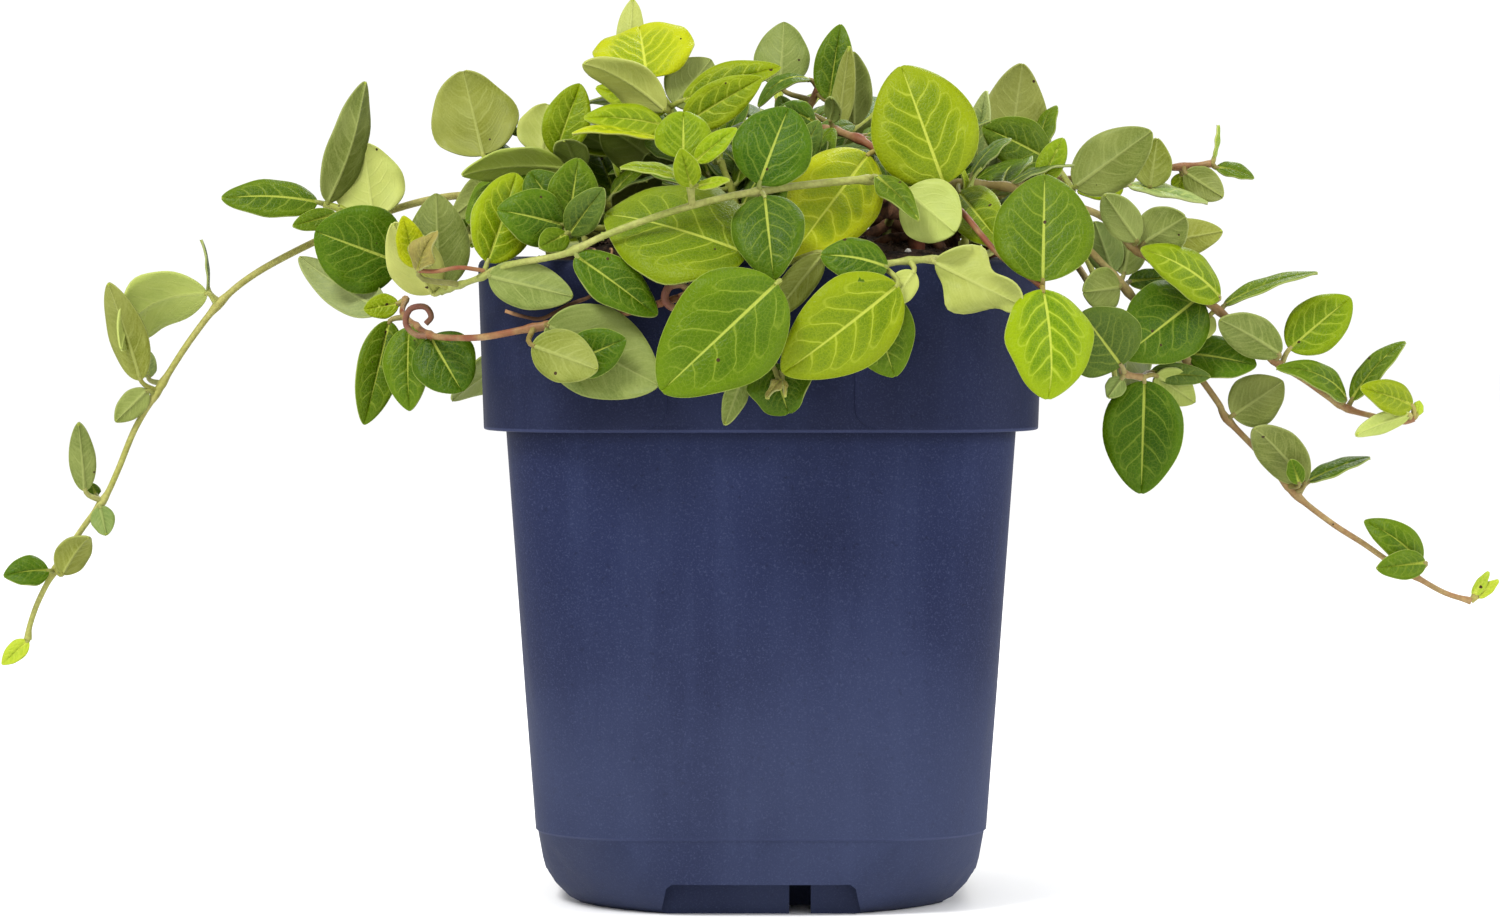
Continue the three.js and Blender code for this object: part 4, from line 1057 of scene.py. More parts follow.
def thick_blades(sheet, given):
    """The sheets as closed blades, with their faces marked as blade, and the upper ones as upper."""
    tree = given.tree
    thick = add(tree, "GeometryNodeExtrudeMesh", {"mode": "FACES"}, {
        "Mesh": sheet, "Offset Scale": given.out("Blade thickness"), "Individual": False,
    })
    upper = stored(thick, "upper", thick.out("Top"), "BOOLEAN", "FACE")
    lower = add(tree, "GeometryNodeFlipFaces", {}, {"Mesh": sheet})
    blades = add(tree, "GeometryNodeJoinGeometry", {}, {"Geometry": [upper, lower]})
    blades = add(tree, "GeometryNodeMergeByDistance", {}, {"Geometry": blades, "Distance": FACE_MERGE})
    return stored(blades, "blade", True, "BOOLEAN", "FACE")


def leafy_stem_tree():
    """Tubes along the input's edges, and a thin blade for each of its leaf points."""
    tree, given, keys = geometry_tree("leafy stem", BLADE_FORM, LEAFY_MATERIALS)
    tubes = tubes_along(tree, given)
    blades = thick_blades(shaped_sheets(flat_sheets(tree, given), given), given)
    plant = add(tree, "GeometryNodeJoinGeometry", {}, {"Geometry": [tubes, blades]})
    plant = add(tree, "GeometryNodeRealizeInstances", {}, {"Geometry": plant})
    for label, faces in (("Stalk", True), ("Underside", named(tree, "blade", "BOOLEAN")),
                         ("Upper side", named(tree, "upper", "BOOLEAN"))):
        plant = add(tree, "GeometryNodeSetMaterial", {}, {
            "Geometry": plant, "Selection": faces, "Material": given.out(label),
        })
    add(tree, "NodeGroupOutput", {}, {"Geometry": plant})
    return tree, keys


def blended(first, second, share):
    """A colour between two others."""
    return tuple(a + (b - a) * share for a, b in zip(first, second))


def jittered(color, draws, amount):
    """The colour, a little lighter or darker and a little more yellow or blue."""
    light = 1 + amount * (2 * next(draws) - 1)
    warm = 1 + amount * 0.4 * (2 * next(draws) - 1)
    return (color[0] * light * warm, color[1] * light, color[2] * light / warm)


def stem_lines(stem, laid, draws):
    """The points of a leafy stem: its tubes and petioles as lines, and one point for each leaf."""
    lines = []
    foot_color, tip_color = BARKS[stem["bark"]]
    marks = []
    for number, path in enumerate(stem["paths"]):
        points = path.spaced(STEM_POINT_SPACING)
        start_width = STEM_WIDTH if number < 2 else SHOOT_STEM_WIDTH
        shares = [i / (len(points) - 1) for i in range(len(points))]
        tapers = [0 if number == 0 else share ** 0.8 for share in shares]
        lines.append([
            {"place": place, "thick": start_width + (TIP_STEM_WIDTH - start_width) * taper,
             "tint": blended(foot_color, tip_color, share)}
            for place, share, taper in zip(points, shares, tapers)
        ])
        marks += lines[-1]
    petioles, leaves = leaf_parts(laid, marks, draws)
    return lines + petioles, leaves, marks


def petiole_line(root, base, along, tint):
    """The points of a petiole that leaves its stem at a root and bends into line with its blade."""
    first = root + (base - root) / 3
    last = base - along * np.linalg.norm(base - root) / 3
    end = base + along * 0.5
    line = []
    for step in range(PETIOLE_STEPS + 1):
        t = step / PETIOLE_STEPS
        place = (root * (1 - t) ** 3 + first * 3 * t * (1 - t) ** 2
                 + last * 3 * t * t * (1 - t) + end * t ** 3)
        thick = PETIOLE_ROOT_WIDTH + (PETIOLE_END_WIDTH - PETIOLE_ROOT_WIDTH) * t
        line.append({"place": place, "tint": tint, "thick": thick})
    return line


def leaf_parts(laid, marks, draws):
    """A petiole and a leaf point for each leaf. The stem swells where a petiole leaves it."""
    petioles = []
    leaves = []
    for leaf, lay in laid:
        base, reach, up, width = lay
        nearest = min(marks, key=lambda spot: np.linalg.norm(spot["place"] - base))
        root = nearest["place"]
        for spot in marks:
            near = np.linalg.norm(spot["place"] - root)
            spot["swell"] = max(spot.get("swell", 0), math.exp(-(near / SWELLING_REACH) ** 2))
        upper, under = (jittered(color, draws, TONE_SPREAD) for color in TONES[leaf["tone"]])
        stalk = blended(nearest["tint"], under, 0.55)
        petioles.append(petiole_line(root, base, unit(reach), stalk))
        leaves.append({
            "place": base, "tint": upper, "under_tint": under, "foot": base * MM, "reach": reach * MM,
            "rise": up, "broad": width * MM, "fold": math.radians(leaf["fold"]), "bow": leaf["arch"],
            "phase": next(draws), "is_leaf": 1.0, "crumple": leaf.get("crumple", 0.0),
        })
    return petioles, leaves


def line_mesh(name, lines, leaves):
    """A mesh of edges and loose points that carries what each point is to become."""
    spots = [spot for line in lines for spot in line] + leaves
    edges = []
    start = 0
    for line in lines:
        edges += [(start + i, start + i + 1) for i in range(len(line) - 1)]
        start += len(line)
    mesh = bpy.data.meshes.new(name)
    mesh.from_pydata([tuple(spot["place"] * MM) for spot in spots], edges, [])
    radii = [
        spot.get("thick", 0) * MM / 2 * (1 + NODE_SWELLING * spot.get("swell", 0)) for spot in spots
    ]
    mesh.attributes.new("thick", "FLOAT", "POINT").data.foreach_set("value", radii)
    for key in NUMBERS:
        values = [spot.get(key, 0.0) for spot in spots]
        mesh.attributes.new(key, "FLOAT", "POINT").data.foreach_set("value", values)
    for key in VECTORS:
        values = [number for spot in spots for number in spot.get(key, (0, 0, 0))]
        mesh.attributes.new(key, "FLOAT_VECTOR", "POINT").data.foreach_set("vector", values)
    for key in TINTS:
        values = [number for spot in spots for number in (*spot.get(key, (0, 0, 0)), 1.0)]
        mesh.attributes.new(key, "FLOAT_COLOR", "POINT").data.foreach_set("color", values)
    return mesh


# Small things that the CAD model leaves out: rows as in the table of stems, and thin stalks with their
# width and colour
EXTRA_LEAVES = {
    "stem_front_left": [(-75, 136.3, -71, 144.8, -57, -58, 6, 20, 28, 0.2, "withered")],
    "stem_front_centre": [
        (4.6, 112.2, 1.4, 108.4, -70, -73, 2.6, 20, 20, 0.2, "withered"),
        (3.8, 112.4, 5.4, 108.8, -70, -72, 1.8, 40, 20, 0.2, "withered"),
    ],
}
WITHERED_CRUMPLE = 1.2
# Leaves with a crumpled margin, by their number on the stem
CRUMPLED = {
    "stem_front_right": {3: 1.8, 0: 0.1},
    "stem_front_left": {13: 0.5, 2: 0.3},
    "stem_front_centre": {0: 0.2, 1: 0.15, 3: 0.5},
    "stem_top_centre": {0: 0.1, 1: 0.5, 4: 0.3},
    "stem_mid_left": {0: 0.2},
}
RED_STALK = screen(124, 66, 46)
CURL_STALK = screen(112, 72, 60)
EXTRA_STALKS = {
    "stem_front_left": [
        (0.9, RED_STALK, [(-60.5, 136.2, -58), (-66, 136.9, -59), (-71, 136.1, -58.5),
                          (-75, 136.2, -57)]),
    ],
    "stem_front_red": [
        (1.7, CURL_STALK, [(-15.6, 131.2, -66), (-17.4, 133.2, -67.4), (-20.2, 132.6, -68),
                           (-21, 129.8, -68), (-18.8, 128, -67.8), (-16.6, 129.4, -67.6),
                           (-17.4, 131.4, -67.4)]),
        (1.3, CURL_STALK, [(-72.5, 122, -43), (-75.6, 122.2, -42), (-77.8, 124.6, -42),
                           (-76.8, 127.8, -42), (-73.6, 128.3, -42), (-72.2, 126.2, -41.6),
                           (-73.4, 124.6, -41.4)]),
    ],
}

# Small leaves low on the stems, over the soil
INNER_SEED = 23
INNER_FIRST = 7
INNER_SPACING = 8
INNER_ROOM = 2.3
INNER_TRIES = 6
INNER_END = 8
INNER_PETIOLE = 2.8
INNER_SHORTEST = 13
INNER_LENGTH_SPREAD = 9
INNER_SLENDERNESS = 0.54
INNER_TONES = ("dark", "mid", "dark", "grey", "mid", "fresh")
# Where they may be: behind a depth, within a reach of the axis, and under a height. Out over the rim,
# they also keep above a height.
INNER_FRONT = -40
INNER_REACH = 66
INNER_TOP = 174
INNER_RIM_REACH = 51
INNER_RIM_HEIGHT = 142
SOIL_CLEARANCE = 2
# How far apart the points are that mark where a stem or a young shoot is
STEM_SAMPLE_SPACING = 4
SHOOT_SAMPLE_SPACING = 3
# The gap between the front leaves that bares the soil, from its low left to its high right corner
GAP_LOW = (16, 140)
GAP_HIGH = (35, 153)
# Buds at the stems' ends
BUD_LENGTH = 9
BUD_WIDTH = 3.2
BUD_SPREAD = 0.26


def leaf_samples(lay, bow):
    """Points over a leaf, by which it keeps clear of the others."""
    base, reach, up, width = lay
    across = np.cross(unit(reach), up)
    length = np.linalg.norm(reach)
    samples = []
    for share in (0.15, 0.4, 0.65, 0.9):
        middle = base + reach * share + up * bow * length * 4 * share * (1 - share)
        for side in (-0.8, 0, 0.8):
            samples.append(middle + across * side * width / 2 * blade_outline(share))
    return samples


def has_room(samples, taken, room=INNER_ROOM):
    """Whether a leaf keeps clear of the others, of the soil, of the rim and of the gap at the front."""
    for spot in samples:
        reach = max(abs(spot[0]), abs(spot[1]))
        if reach > INNER_REACH or spot[1] < INNER_FRONT or spot[2] > INNER_TOP:
            return False
        if reach > INNER_RIM_REACH and spot[2] < INNER_RIM_HEIGHT:
            return False
        if spot[2] < soil_top(spot[0], spot[1]) + SOIL_CLEARANCE:
            return False
        scale = 1 + spot[1] / EYE_DISTANCE
        x = spot[0] / scale
        z = EYE_HEIGHT + (spot[2] - EYE_HEIGHT) / scale
        if GAP_LOW[0] < x < GAP_HIGH[0] and GAP_LOW[1] < z < GAP_HIGH[1]:
            return False
        if taken.find(spot)[2] < room:
            return False
    return True


def small_leaf(node, beside, tangent, attempt, draws):
    """A small leaf at a node, and how it lies. Each further attempt is smaller and more askew."""
    way = beside + tangent * 0.5 + point(0, 0, 0.5 * next(draws))
    way = unit(way + point(0.5 - next(draws), 0.5 - next(draws), 0) * (0.7 + 0.4 * attempt))
    size = (INNER_SHORTEST + INNER_LENGTH_SPREAD * next(draws)) * (1 - 0.08 * attempt)
    facing = point(0.7 - 1.4 * next(draws), -0.2, 0.9)
    tone = INNER_TONES[int(len(INNER_TONES) * next(draws))]
    arch = 0.07 + 0.06 * next(draws)
    base = node + way * INNER_PETIOLE
    leaf = rear_leaf(base, way, facing, size, size * INNER_SLENDERNESS, arch, tone)
    return leaf, blade_frame(leaf, 1, 0, 0)


def inner_leaves(path, taken, draws, first, spacing, end, room=INNER_ROOM):
    """Pairs of small leaves along a path, up to the end's distance from its tip, where there is room."""
    found = []
    place = first
    pair = 0
    while place < path.length - end:
        share = place / path.length
        node = path.point_at(share)
        tangent = path.way_at(share)
        level = np.cross(tangent, point(0, 0, 1))
        level = unit(level) if np.linalg.norm(level) > 0.2 else point(1, 0, 0)
        lift = unit(np.cross(level, tangent))
        beside = level if pair % 2 == 0 else lift + level * 0.4
        for hand in (-1, 1):
            for attempt in range(INNER_TRIES):
                leaf, lay = small_leaf(node, beside * hand, tangent, attempt, draws)
                if has_room(leaf_samples(lay, leaf["arch"]), taken, room):
                    found.append((leaf, lay))
                    break
        pair += 1
        place += spacing
    return found


def tip_bud(path, draws):
    """Two small young leaves that close the end of a stem."""
    tip = path.point_at(1)
    tangent = path.way_at(1)
    beside = unit(np.cross(tangent, point(0.3, 0.5, 0.8)))
    bud = []
    for hand in (-1, 1):
        way = unit(tangent + beside * hand * BUD_SPREAD)
        facing = beside * -hand
        size = BUD_LENGTH * (0.8 + 0.4 * next(draws))
        leaf = rear_leaf(tip, way, facing, size, BUD_WIDTH, 0.1, "bud")
        bud.append((leaf, blade_frame(leaf, 1, 0, 0)))
    return bud


def tree_of(samples):
    """Points, to look up the one that is nearest to a place."""
    tree = KDTree(len(samples))
    for index, spot in enumerate(samples):
        tree.insert(spot, index)
    tree.balance()
    return tree


def leafy_piece(name, lines, leaves, grower, materials):
    """A finished piece of tubes and leaves."""
    piece = placed(name, line_mesh(name, lines, leaves))
    tree, keys = grower
    grown(piece, tree, keys, {**BLADE_FORM, **materials})
    for key in WORKING_VALUES:
        if key in piece.data.attributes:
            piece.data.attributes.remove(piece.data.attributes[key])
    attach(piece, "root")
    return piece


# Young shoots on the bare soil between the stems, set out on a loose grid
SHOOT_SEED = 57
SHOOT_SPACING = 12
SHOOT_LOOSENESS = 5
SHOOT_HEIGHT = 14
SHOOT_LEAN = 14
SHOOT_ROOM = 1.7
SHOOT_PAIR_SPACING = 5
SHOOT_COLUMNS = range(-42, 43, SHOOT_SPACING)
SHOOT_ROWS = range(-33, 40, SHOOT_SPACING)


def young_path(x, y, draws):
    """The way of a young shoot that rises from the soil near a place, and leans a little."""
    foot_x = x + SHOOT_LOOSENESS * (2 * next(draws) - 1)
    foot_y = y + SHOOT_LOOSENESS * (2 * next(draws) - 1)
    foot = point(foot_x, foot_y, soil_top(foot_x, foot_y))
    lean = point(next(draws) - 0.5, next(draws) - 0.5, 0) * SHOOT_LEAN
    rise = point(0, 0, SHOOT_HEIGHT * (0.7 + 0.6 * next(draws)))
    return Path([foot, foot + lean * 0.3 + rise * 0.55, foot + lean + rise])


def young_shoots(samples, grower, materials):
    """One piece of young shoots, each with small leaves and a bud, wherever the samples leave room."""
    draws = seeded(SHOOT_SEED)
    lines = []
    leaves = []
    for x in SHOOT_COLUMNS:
        for y in SHOOT_ROWS:
            path = young_path(x, y, draws)
            taken = tree_of(samples)
            stalk = path.spaced(SHOOT_SAMPLE_SPACING)
            if not has_room(stalk[1:], taken, SHOOT_ROOM):
                continue
            found = inner_leaves(
                path, taken, draws, SHOOT_PAIR_SPACING, SHOOT_PAIR_SPACING, 1, SHOOT_ROOM)
            samples += stalk
            for leaf, lay in found:
                samples += leaf_samples(lay, leaf["arch"])
            foot = path.points[0]
            shoot = {"bark": "yellow_green", "paths": [Path([foot - point(0, 0, 3), foot]), path]}
            tubes, blades, unused = stem_lines(shoot, found + tip_bud(path, draws), draws)
            lines += tubes
            leaves += blades
    leafy_piece("young_shoots", lines, leaves, grower, materials)


def lay_leaves(stems):
    """Lays each stem's leaves as the CAD model does, and gives points all over them and the stems."""
    samples = []
    for stem in stems:
        corners = corner_tree(stem["name"])
        for number, amount in CRUMPLED.get(stem["name"], {}).items():
            stem["leaves"][number]["crumple"] = amount
        laid = [(leaf, laid_leaf(leaf, corners)) for leaf in stem["leaves"]]
        stem["laid"] = [(leaf, lay) for leaf, lay in laid if lay is not None]
        for leaf, lay in stem["laid"]:
            samples += leaf_samples(lay, leaf["arch"])
        for path in stem["paths"]:
            samples += path.spaced(STEM_SAMPLE_SPACING)[3:]
    return samples


def grow_stem(stem, samples, draws, inner_draws, grower, materials):
    """One leafy stem, as a fine piece in place of its CAD node. Its small leaves join the samples."""
    laid = list(stem["laid"])
    for row in EXTRA_LEAVES.get(stem["name"], []):
        leaf = {**visible_leaf(row), "crumple": WITHERED_CRUMPLE}
        laid.append((leaf, blade_frame(leaf, 1, 0, 0)))
    lines, leaves, marks = stem_lines(stem, laid, draws)
    main = stem["paths"][1]
    inner = inner_leaves(main, tree_of(samples), inner_draws, INNER_FIRST, INNER_SPACING, INNER_END)
    for leaf, lay in inner:
        samples += leaf_samples(lay, leaf["arch"])
    if "rear" in stem["name"]:
        inner += tip_bud(main, inner_draws)
    petioles, more = leaf_parts(inner, marks, inner_draws)
    lines += petioles
    leaves += more
    for width, tint, places in EXTRA_STALKS.get(stem["name"], []):
        points = Path([seen(*place) for place in places]).spaced(STALK_POINT_SPACING)
        lines.append([{"place": place, "thick": width, "tint": tint} for place in points])
    piece = leafy_piece(stem["name"] + "_fine", lines, leaves, grower, materials)
    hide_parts(stem["name"])


def grow_stems(materials):
    """Every leafy stem, and the young shoots between them."""
    grower = leafy_stem_tree()
    draws = seeded(STEM_SEED)
    inner_draws = seeded(INNER_SEED)
    stems = all_stems()
    samples = lay_leaves(stems)
    for stem in stems:
        grow_stem(stem, samples, draws, inner_draws, grower, materials)
    young_shoots(samples, grower, materials)


# Pot

CORNER_STEPS = 14
PANEL_CORNER = 4.5
PANEL_EDGE_HEIGHT = 104
PANEL_SLOPE = 0.25
SHARPEST_SMOOTH_ANGLE = math.radians(35)
# Heights on the collar, from its foot to under the rim, and how far the collar is drawn in at each
COLLAR_FOOT = [(COLLAR_BOTTOM, 0.4), (COLLAR_BOTTOM + 0.15, 0.1), (COLLAR_BOTTOM + 0.4, 0)]
PANEL_RISES = (-0.3, -0.1, 0.1, 0.3, 0.7, 1.2, 1.8, 2.6, 3.5, PANEL_CORNER)
COLLAR_LEVELS = [*COLLAR_FOOT, *((PANEL_EDGE_HEIGHT + rise, 0) for rise in PANEL_RISES),
                 (120, 0), (134.6, 0), (136.4, 0)]
# The rim's round outer edge and its inner edge, given in the same way
RIM_OUTER_EDGE = [(137.6, 0.1), (138.3, 0.35), (138.75, 0.75), (POT_HEIGHT, 1.4)]
RIM_INNER_EDGE = [(POT_HEIGHT, 0.9), (138.7, 0.3), (138.1, 0)]


def body_at(height):
    """The body's width and corner radius at a height."""
    heights = [section[0] for section in BODY_SECTIONS]
    return tuple(np.interp(height, heights, [section[k] for section in BODY_SECTIONS]) for k in (1, 2))


def inner_at(height, inset):
    """A height, and the width and corner radius of the room inside the body there."""
    width, radius = body_at(height)
    return height, width - 2 * inset, radius - inset


def panel_edge(height):
    """Half the width of the sunken panel in the collar's middle, which flares out at its foot."""
    rise = min(max(height - PANEL_EDGE_HEIGHT, 0), PANEL_CORNER)
    flare = PANEL_CORNER - math.sqrt(PANEL_CORNER ** 2 - (PANEL_CORNER - rise) ** 2)
    return COLLAR_PANEL_WIDTH / 2 + flare


def side_columns(half, height):
    """Where the points of a ring lie along one straight side, and how far each is sunk in."""
    edge = min(panel_edge(height), half - 1)
    shares = [edge + offset for offset in (PANEL_SLOPE, 0.08, -0.08, -PANEL_SLOPE)] + [edge * 0.4]
    places = [-place for place in shares] + [0] + shares[::-1]
    sunk = [0, 0.12, 0.88, 1, 1, 1, 1, 1, 0.88, 0.12, 0]
    return [(place, COLLAR_PANEL_DEPTH * amount) for place, amount in zip(places, sunk)]


def pot_ring(height, width, radius, panel=None):
    """One level ring of a square with round corners. panel is 0 where a side is sunk from end to end,
    and 1 where only its panel is. Without it, the sides are plain."""
    points = []
    half = width / 2
    straight = half - radius
    if panel is None:
        columns = [(straight * 0.9 * share / 5, 0) for share in range(-5, 6)]
    else:
        columns = [(place, sunk + COLLAR_PANEL_DEPTH * (1 - panel) * (1 - sunk / COLLAR_PANEL_DEPTH))
                   for place, sunk in side_columns(straight, height)]
    for side in range(4):
        spots = []
        for step in range(CORNER_STEPS + 1):
            angle = (step / CORNER_STEPS - 2) * math.pi / 2
            spots.append((radius * math.cos(angle) - straight, radius * math.sin(angle) - straight))
        spots += [(place, sunk - half) for place, sunk in columns]
        for across, away in spots:
            spot = Vector((across, away, height))
            spot.rotate(Euler((0, 0, side * math.pi / 2)))
            points.append(spot)
    return points


def lofted(name, rings):
    """A closed solid through level rings that all have the same number of points."""
    count = len(rings[0])
    points = [tuple(spot * MM) for ring in rings for spot in ring]
    faces = [tuple(reversed(range(count)))]
    for level in range(len(rings) - 1):
        for i in range(count):
            j = (i + 1) % count
            low = level * count
            high = low + count
            faces.append((low + i, low + j, high + j, high + i))
    last = (len(rings) - 1) * count
    faces.append(tuple(range(last, last + count)))
    mesh = bpy.data.meshes.new(name)
    mesh.from_pydata(points, [], faces)
    return mesh


def block(name, corners, low, high):
    """A prism: corners in x and z, carried from low to high in y."""
    count = len(corners)
    points = [tuple(Vector((x, y, z)) * MM) for y in (low, high) for x, z in corners]
    faces = [tuple(range(count)), tuple(reversed(range(count, 2 * count)))]
    faces += [(i, i + count, (i + 1) % count + count, (i + 1) % count) for i in range(count)]
    mesh = bpy.data.meshes.new(name)
    mesh.from_pydata(points, [], faces)
    return mesh


def pot_rings():
    """The pot's rings: up the body, round the groove behind the collar, up the collar, down inside."""
    rings = [pot_ring(*section) for section in BODY_SECTIONS[:-1]]
    rings.append(pot_ring(COLLAR_GROOVE_TOP, *body_at(COLLAR_GROOVE_TOP)))
    groove_width = RIM_WIDTH - 2 * COLLAR_WALL - 0.3
    groove_foot_width = COLLAR_BOTTOM_WIDTH - 2 * COLLAR_WALL + 0.1
    rings.append(pot_ring(COLLAR_GROOVE_TOP, groove_width, RIM_RADIUS - COLLAR_WALL))
    rings.append(pot_ring(COLLAR_BOTTOM, groove_foot_width, RIM_RADIUS - 1 - COLLAR_WALL))
    for height, inset in COLLAR_LEVELS:
        share = (height - COLLAR_BOTTOM) / (POT_HEIGHT - COLLAR_BOTTOM)
        width = COLLAR_BOTTOM_WIDTH + (RIM_WIDTH - COLLAR_BOTTOM_WIDTH) * share - 2 * inset
        raised = min(max((height - PANEL_EDGE_HEIGHT + 0.3) / 0.6, 0), 1)
        rings.append(pot_ring(height, width, RIM_RADIUS - 1 + share - inset, raised))
    for height, inset in RIM_OUTER_EDGE:
        rings.append(pot_ring(height, RIM_WIDTH - 2 * inset, RIM_RADIUS - inset))
    top_width, top_radius = body_at(POT_HEIGHT)
    for height, inset in RIM_INNER_EDGE:
        rings.append(pot_ring(height, top_width - 2 * WALL + 2 * inset, top_radius - WALL + inset))
    for height in (COLLAR_BOTTOM, 46, PARTING_HEIGHT + 0.4, FLOOR_TOP):
        rings.append(pot_ring(*inner_at(height, WALL)))
    return rings


def foot_cutters():
    """The solids that cut the notch in each side of the foot, and the drain slots in the floor."""
    half_foot = BODY_SECTIONS[3][1] / 2
    low_half = NOTCH_WIDTH_LOW / 2
    high_half = NOTCH_WIDTH_HIGH / 2
    notch = [(-low_half, -1), (low_half, -1),
             (high_half + 0.3, NOTCH_HEIGHT - 1), (high_half - 0.9, NOTCH_HEIGHT),
             (-high_half + 0.9, NOTCH_HEIGHT), (-high_half - 0.3, NOTCH_HEIGHT - 1)]
    left = DRAIN_OFFSET - DRAIN_WIDTH / 2
    right = left + DRAIN_WIDTH
    drain = [(left, -1), (right, -1), (right, FLOOR_TOP + 1), (left, FLOOR_TOP + 1)]
    drain_start = -half_foot + NOTCH_DEPTH - 1
    cutters = []
    for side in range(4):
        for corners, low, high in ((notch, -half_foot - 5, -half_foot + NOTCH_DEPTH),
                                   (drain, drain_start, drain_start + DRAIN_LENGTH)):
            cutter = placed("cutter", block("cutter", corners, low, high))
            cutter.data.transform(Euler((0, 0, side * math.pi / 2)).to_matrix().to_4x4())
            cutters.append(cutter)
    return cutters


def cut_mesh(obj, cutters):
    """The object's mesh without what the cutters take away. The cutters are deleted."""
    for cutter in cutters:
        cut = obj.modifiers.new("cut", "BOOLEAN")
        cut.operation = "DIFFERENCE"
        cut.solver = "EXACT"
        cut.object = cutter
    bpy.context.view_layer.update()
    depsgraph = bpy.context.evaluated_depsgraph_get()
    mesh = bpy.data.meshes.new_from_object(obj.evaluated_get(depsgraph))
    obj.modifiers.clear()
    for cutter in cutters:
        bpy.data.objects.remove(cutter)
    return mesh


def make_pot(material):
    pot = placed("pot_fine", lofted("pot_fine", pot_rings()))
    pot.data = cut_mesh(pot, foot_cutters())
    pot.data.materials.clear()
    pot.data.materials.append(material)
    pot.data.shade_smooth()
    pot.data.set_sharp_from_angle(angle=SHARPEST_SMOOTH_ANGLE)
    dressed(pot, "pot")


def dressed(piece, node):
    """Puts a piece in the place of its CAD node."""
    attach(piece, "root")
    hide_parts(node)


# Soil

SOIL_RINGS = 46
CRUMB_SEED = 5
PERLITE_SEED = 40
# Each grain's share of the full size is the square of a draw from these up to 1
LEAST_CRUMB = 0.3
LEAST_PERLITE = 0.6
SOIL_MATERIALS = ("Soil", "Perlite")
# Sizes in metres and densities in grains a square metre
SOIL_FORM = {
    "Roughness": 0.0024,
    "Crumb density": 150000.0,
    "Crumb size": 0.0013,
    "Perlite density": 2200.0,
    "Perlite size": 0.0016,
}


def strewn(tree, ground, density, least, size, seed, material):
    """Loose grains of uneven sizes, strewn over the soil's top."""
    spots = add(tree, "GeometryNodeDistributePointsOnFaces", {}, {
        "Mesh": ground, "Density": density, "Selection": named(tree, "top").above(0.5), "Seed": seed,
    })
    grain = add(tree, "GeometryNodeMeshIcoSphere", {}, {"Radius": 1.0, "Subdivisions": 1})
    scale = add(tree, "FunctionNodeRandomValue", {"data_type": "FLOAT"}, {
        "Min": least, "Max": 1.0, "Seed": seed + 1,
    }) ** 2.0
    stretch = add(tree, "FunctionNodeRandomValue", {"data_type": "FLOAT_VECTOR"}, {
        "Min": (0.5, 0.5, 0.4), "Max": (1.3, 1.0, 0.8), "Seed": seed + 2,
    })
    spin = add(tree, "FunctionNodeRandomValue", {"data_type": "FLOAT_VECTOR"}, {
        "Min": (0.0, 0.0, 0.0), "Max": (6.28, 6.28, 6.28), "Seed": seed + 3,
    })
    grains = add(tree, "GeometryNodeInstanceOnPoints", {}, {
        "Points": spots, "Instance": grain, "Rotation": spin, "Scale": stretch * (scale * size),
    })
    grains = add(tree, "GeometryNodeRealizeInstances", {}, {"Geometry": grains})
    return add(tree, "GeometryNodeSetMaterial", {}, {"Geometry": grains, "Material": material})


def soil_tree():
    """Rough ground with loose crumbs and grains of perlite on it."""
    tree, given, keys = geometry_tree("rough soil", SOIL_FORM, SOIL_MATERIALS)
    normal = add(tree, "GeometryNodeInputNormal")
    place = add(tree, "GeometryNodeInputPosition")
    coarse = add(tree, "ShaderNodeTexNoise", {}, {"Vector": place, "Scale": 160.0, "Detail": 5.0})
    bump = (coarse - 0.55) * given.out("Roughness") * named(tree, "top")
    ground = add(tree, "GeometryNodeSetPosition", {}, {"Geometry": given, "Offset": normal * bump})
    soil = given.out("Soil")
    crumbs = strewn(tree, ground, given.out("Crumb density"), LEAST_CRUMB, given.out("Crumb size"),
                    CRUMB_SEED, soil)
    white = strewn(tree, ground, given.out("Perlite density"), LEAST_PERLITE,
                   given.out("Perlite size"), PERLITE_SEED, given.out("Perlite"))
    ground = add(tree, "GeometryNodeSetMaterial", {}, {"Geometry": ground, "Material": soil})
    whole = add(tree, "GeometryNodeJoinGeometry", {}, {"Geometry": [ground, crumbs, white]})
    whole = add(tree, "GeometryNodeSetShadeSmooth", {}, {"Geometry": whole})
    whole = add(tree, "GeometryNodeRealizeInstances", {}, {"Geometry": whole})
    add(tree, "NodeGroupOutput", {}, {"Geometry": whole})
    return tree, keys


def make_soil(materials):
    """The plug of soil: its walls inside the pot, and rings that close over its domed top."""
    inset = WALL + GAP
    heights = (FLOOR_TOP + GAP, PARTING_HEIGHT + 0.4, COLLAR_BOTTOM, SOIL_EDGE_HEIGHT)
    rings = [pot_ring(*inner_at(height, inset)) for height in heights]
    unused, width, radius = inner_at(SOIL_EDGE_HEIGHT, inset)
    for step in range(1, SOIL_RINGS):
        share = 1 - step / SOIL_RINGS
        rings.append(pot_ring(soil_height(share), width * share, radius * share))
    mesh = lofted("soil_fine", rings)
    top = [1.0 if vertex.co.z > SOIL_EDGE_HEIGHT * MM + 0.0001 else 0.0 for vertex in mesh.vertices]
    mesh.attributes.new("top", "FLOAT", "POINT").data.foreach_set("value", top)
    mesh.shade_smooth()
    soil = placed("soil_fine", mesh)
    tree, keys = soil_tree()
    grown(soil, tree, keys, {**SOIL_FORM, **materials})
    dressed(soil, "soil")


# Old stems

OLD_STEM_RADIUS = 1.9
BARK_POINT_SPACING = 0.5
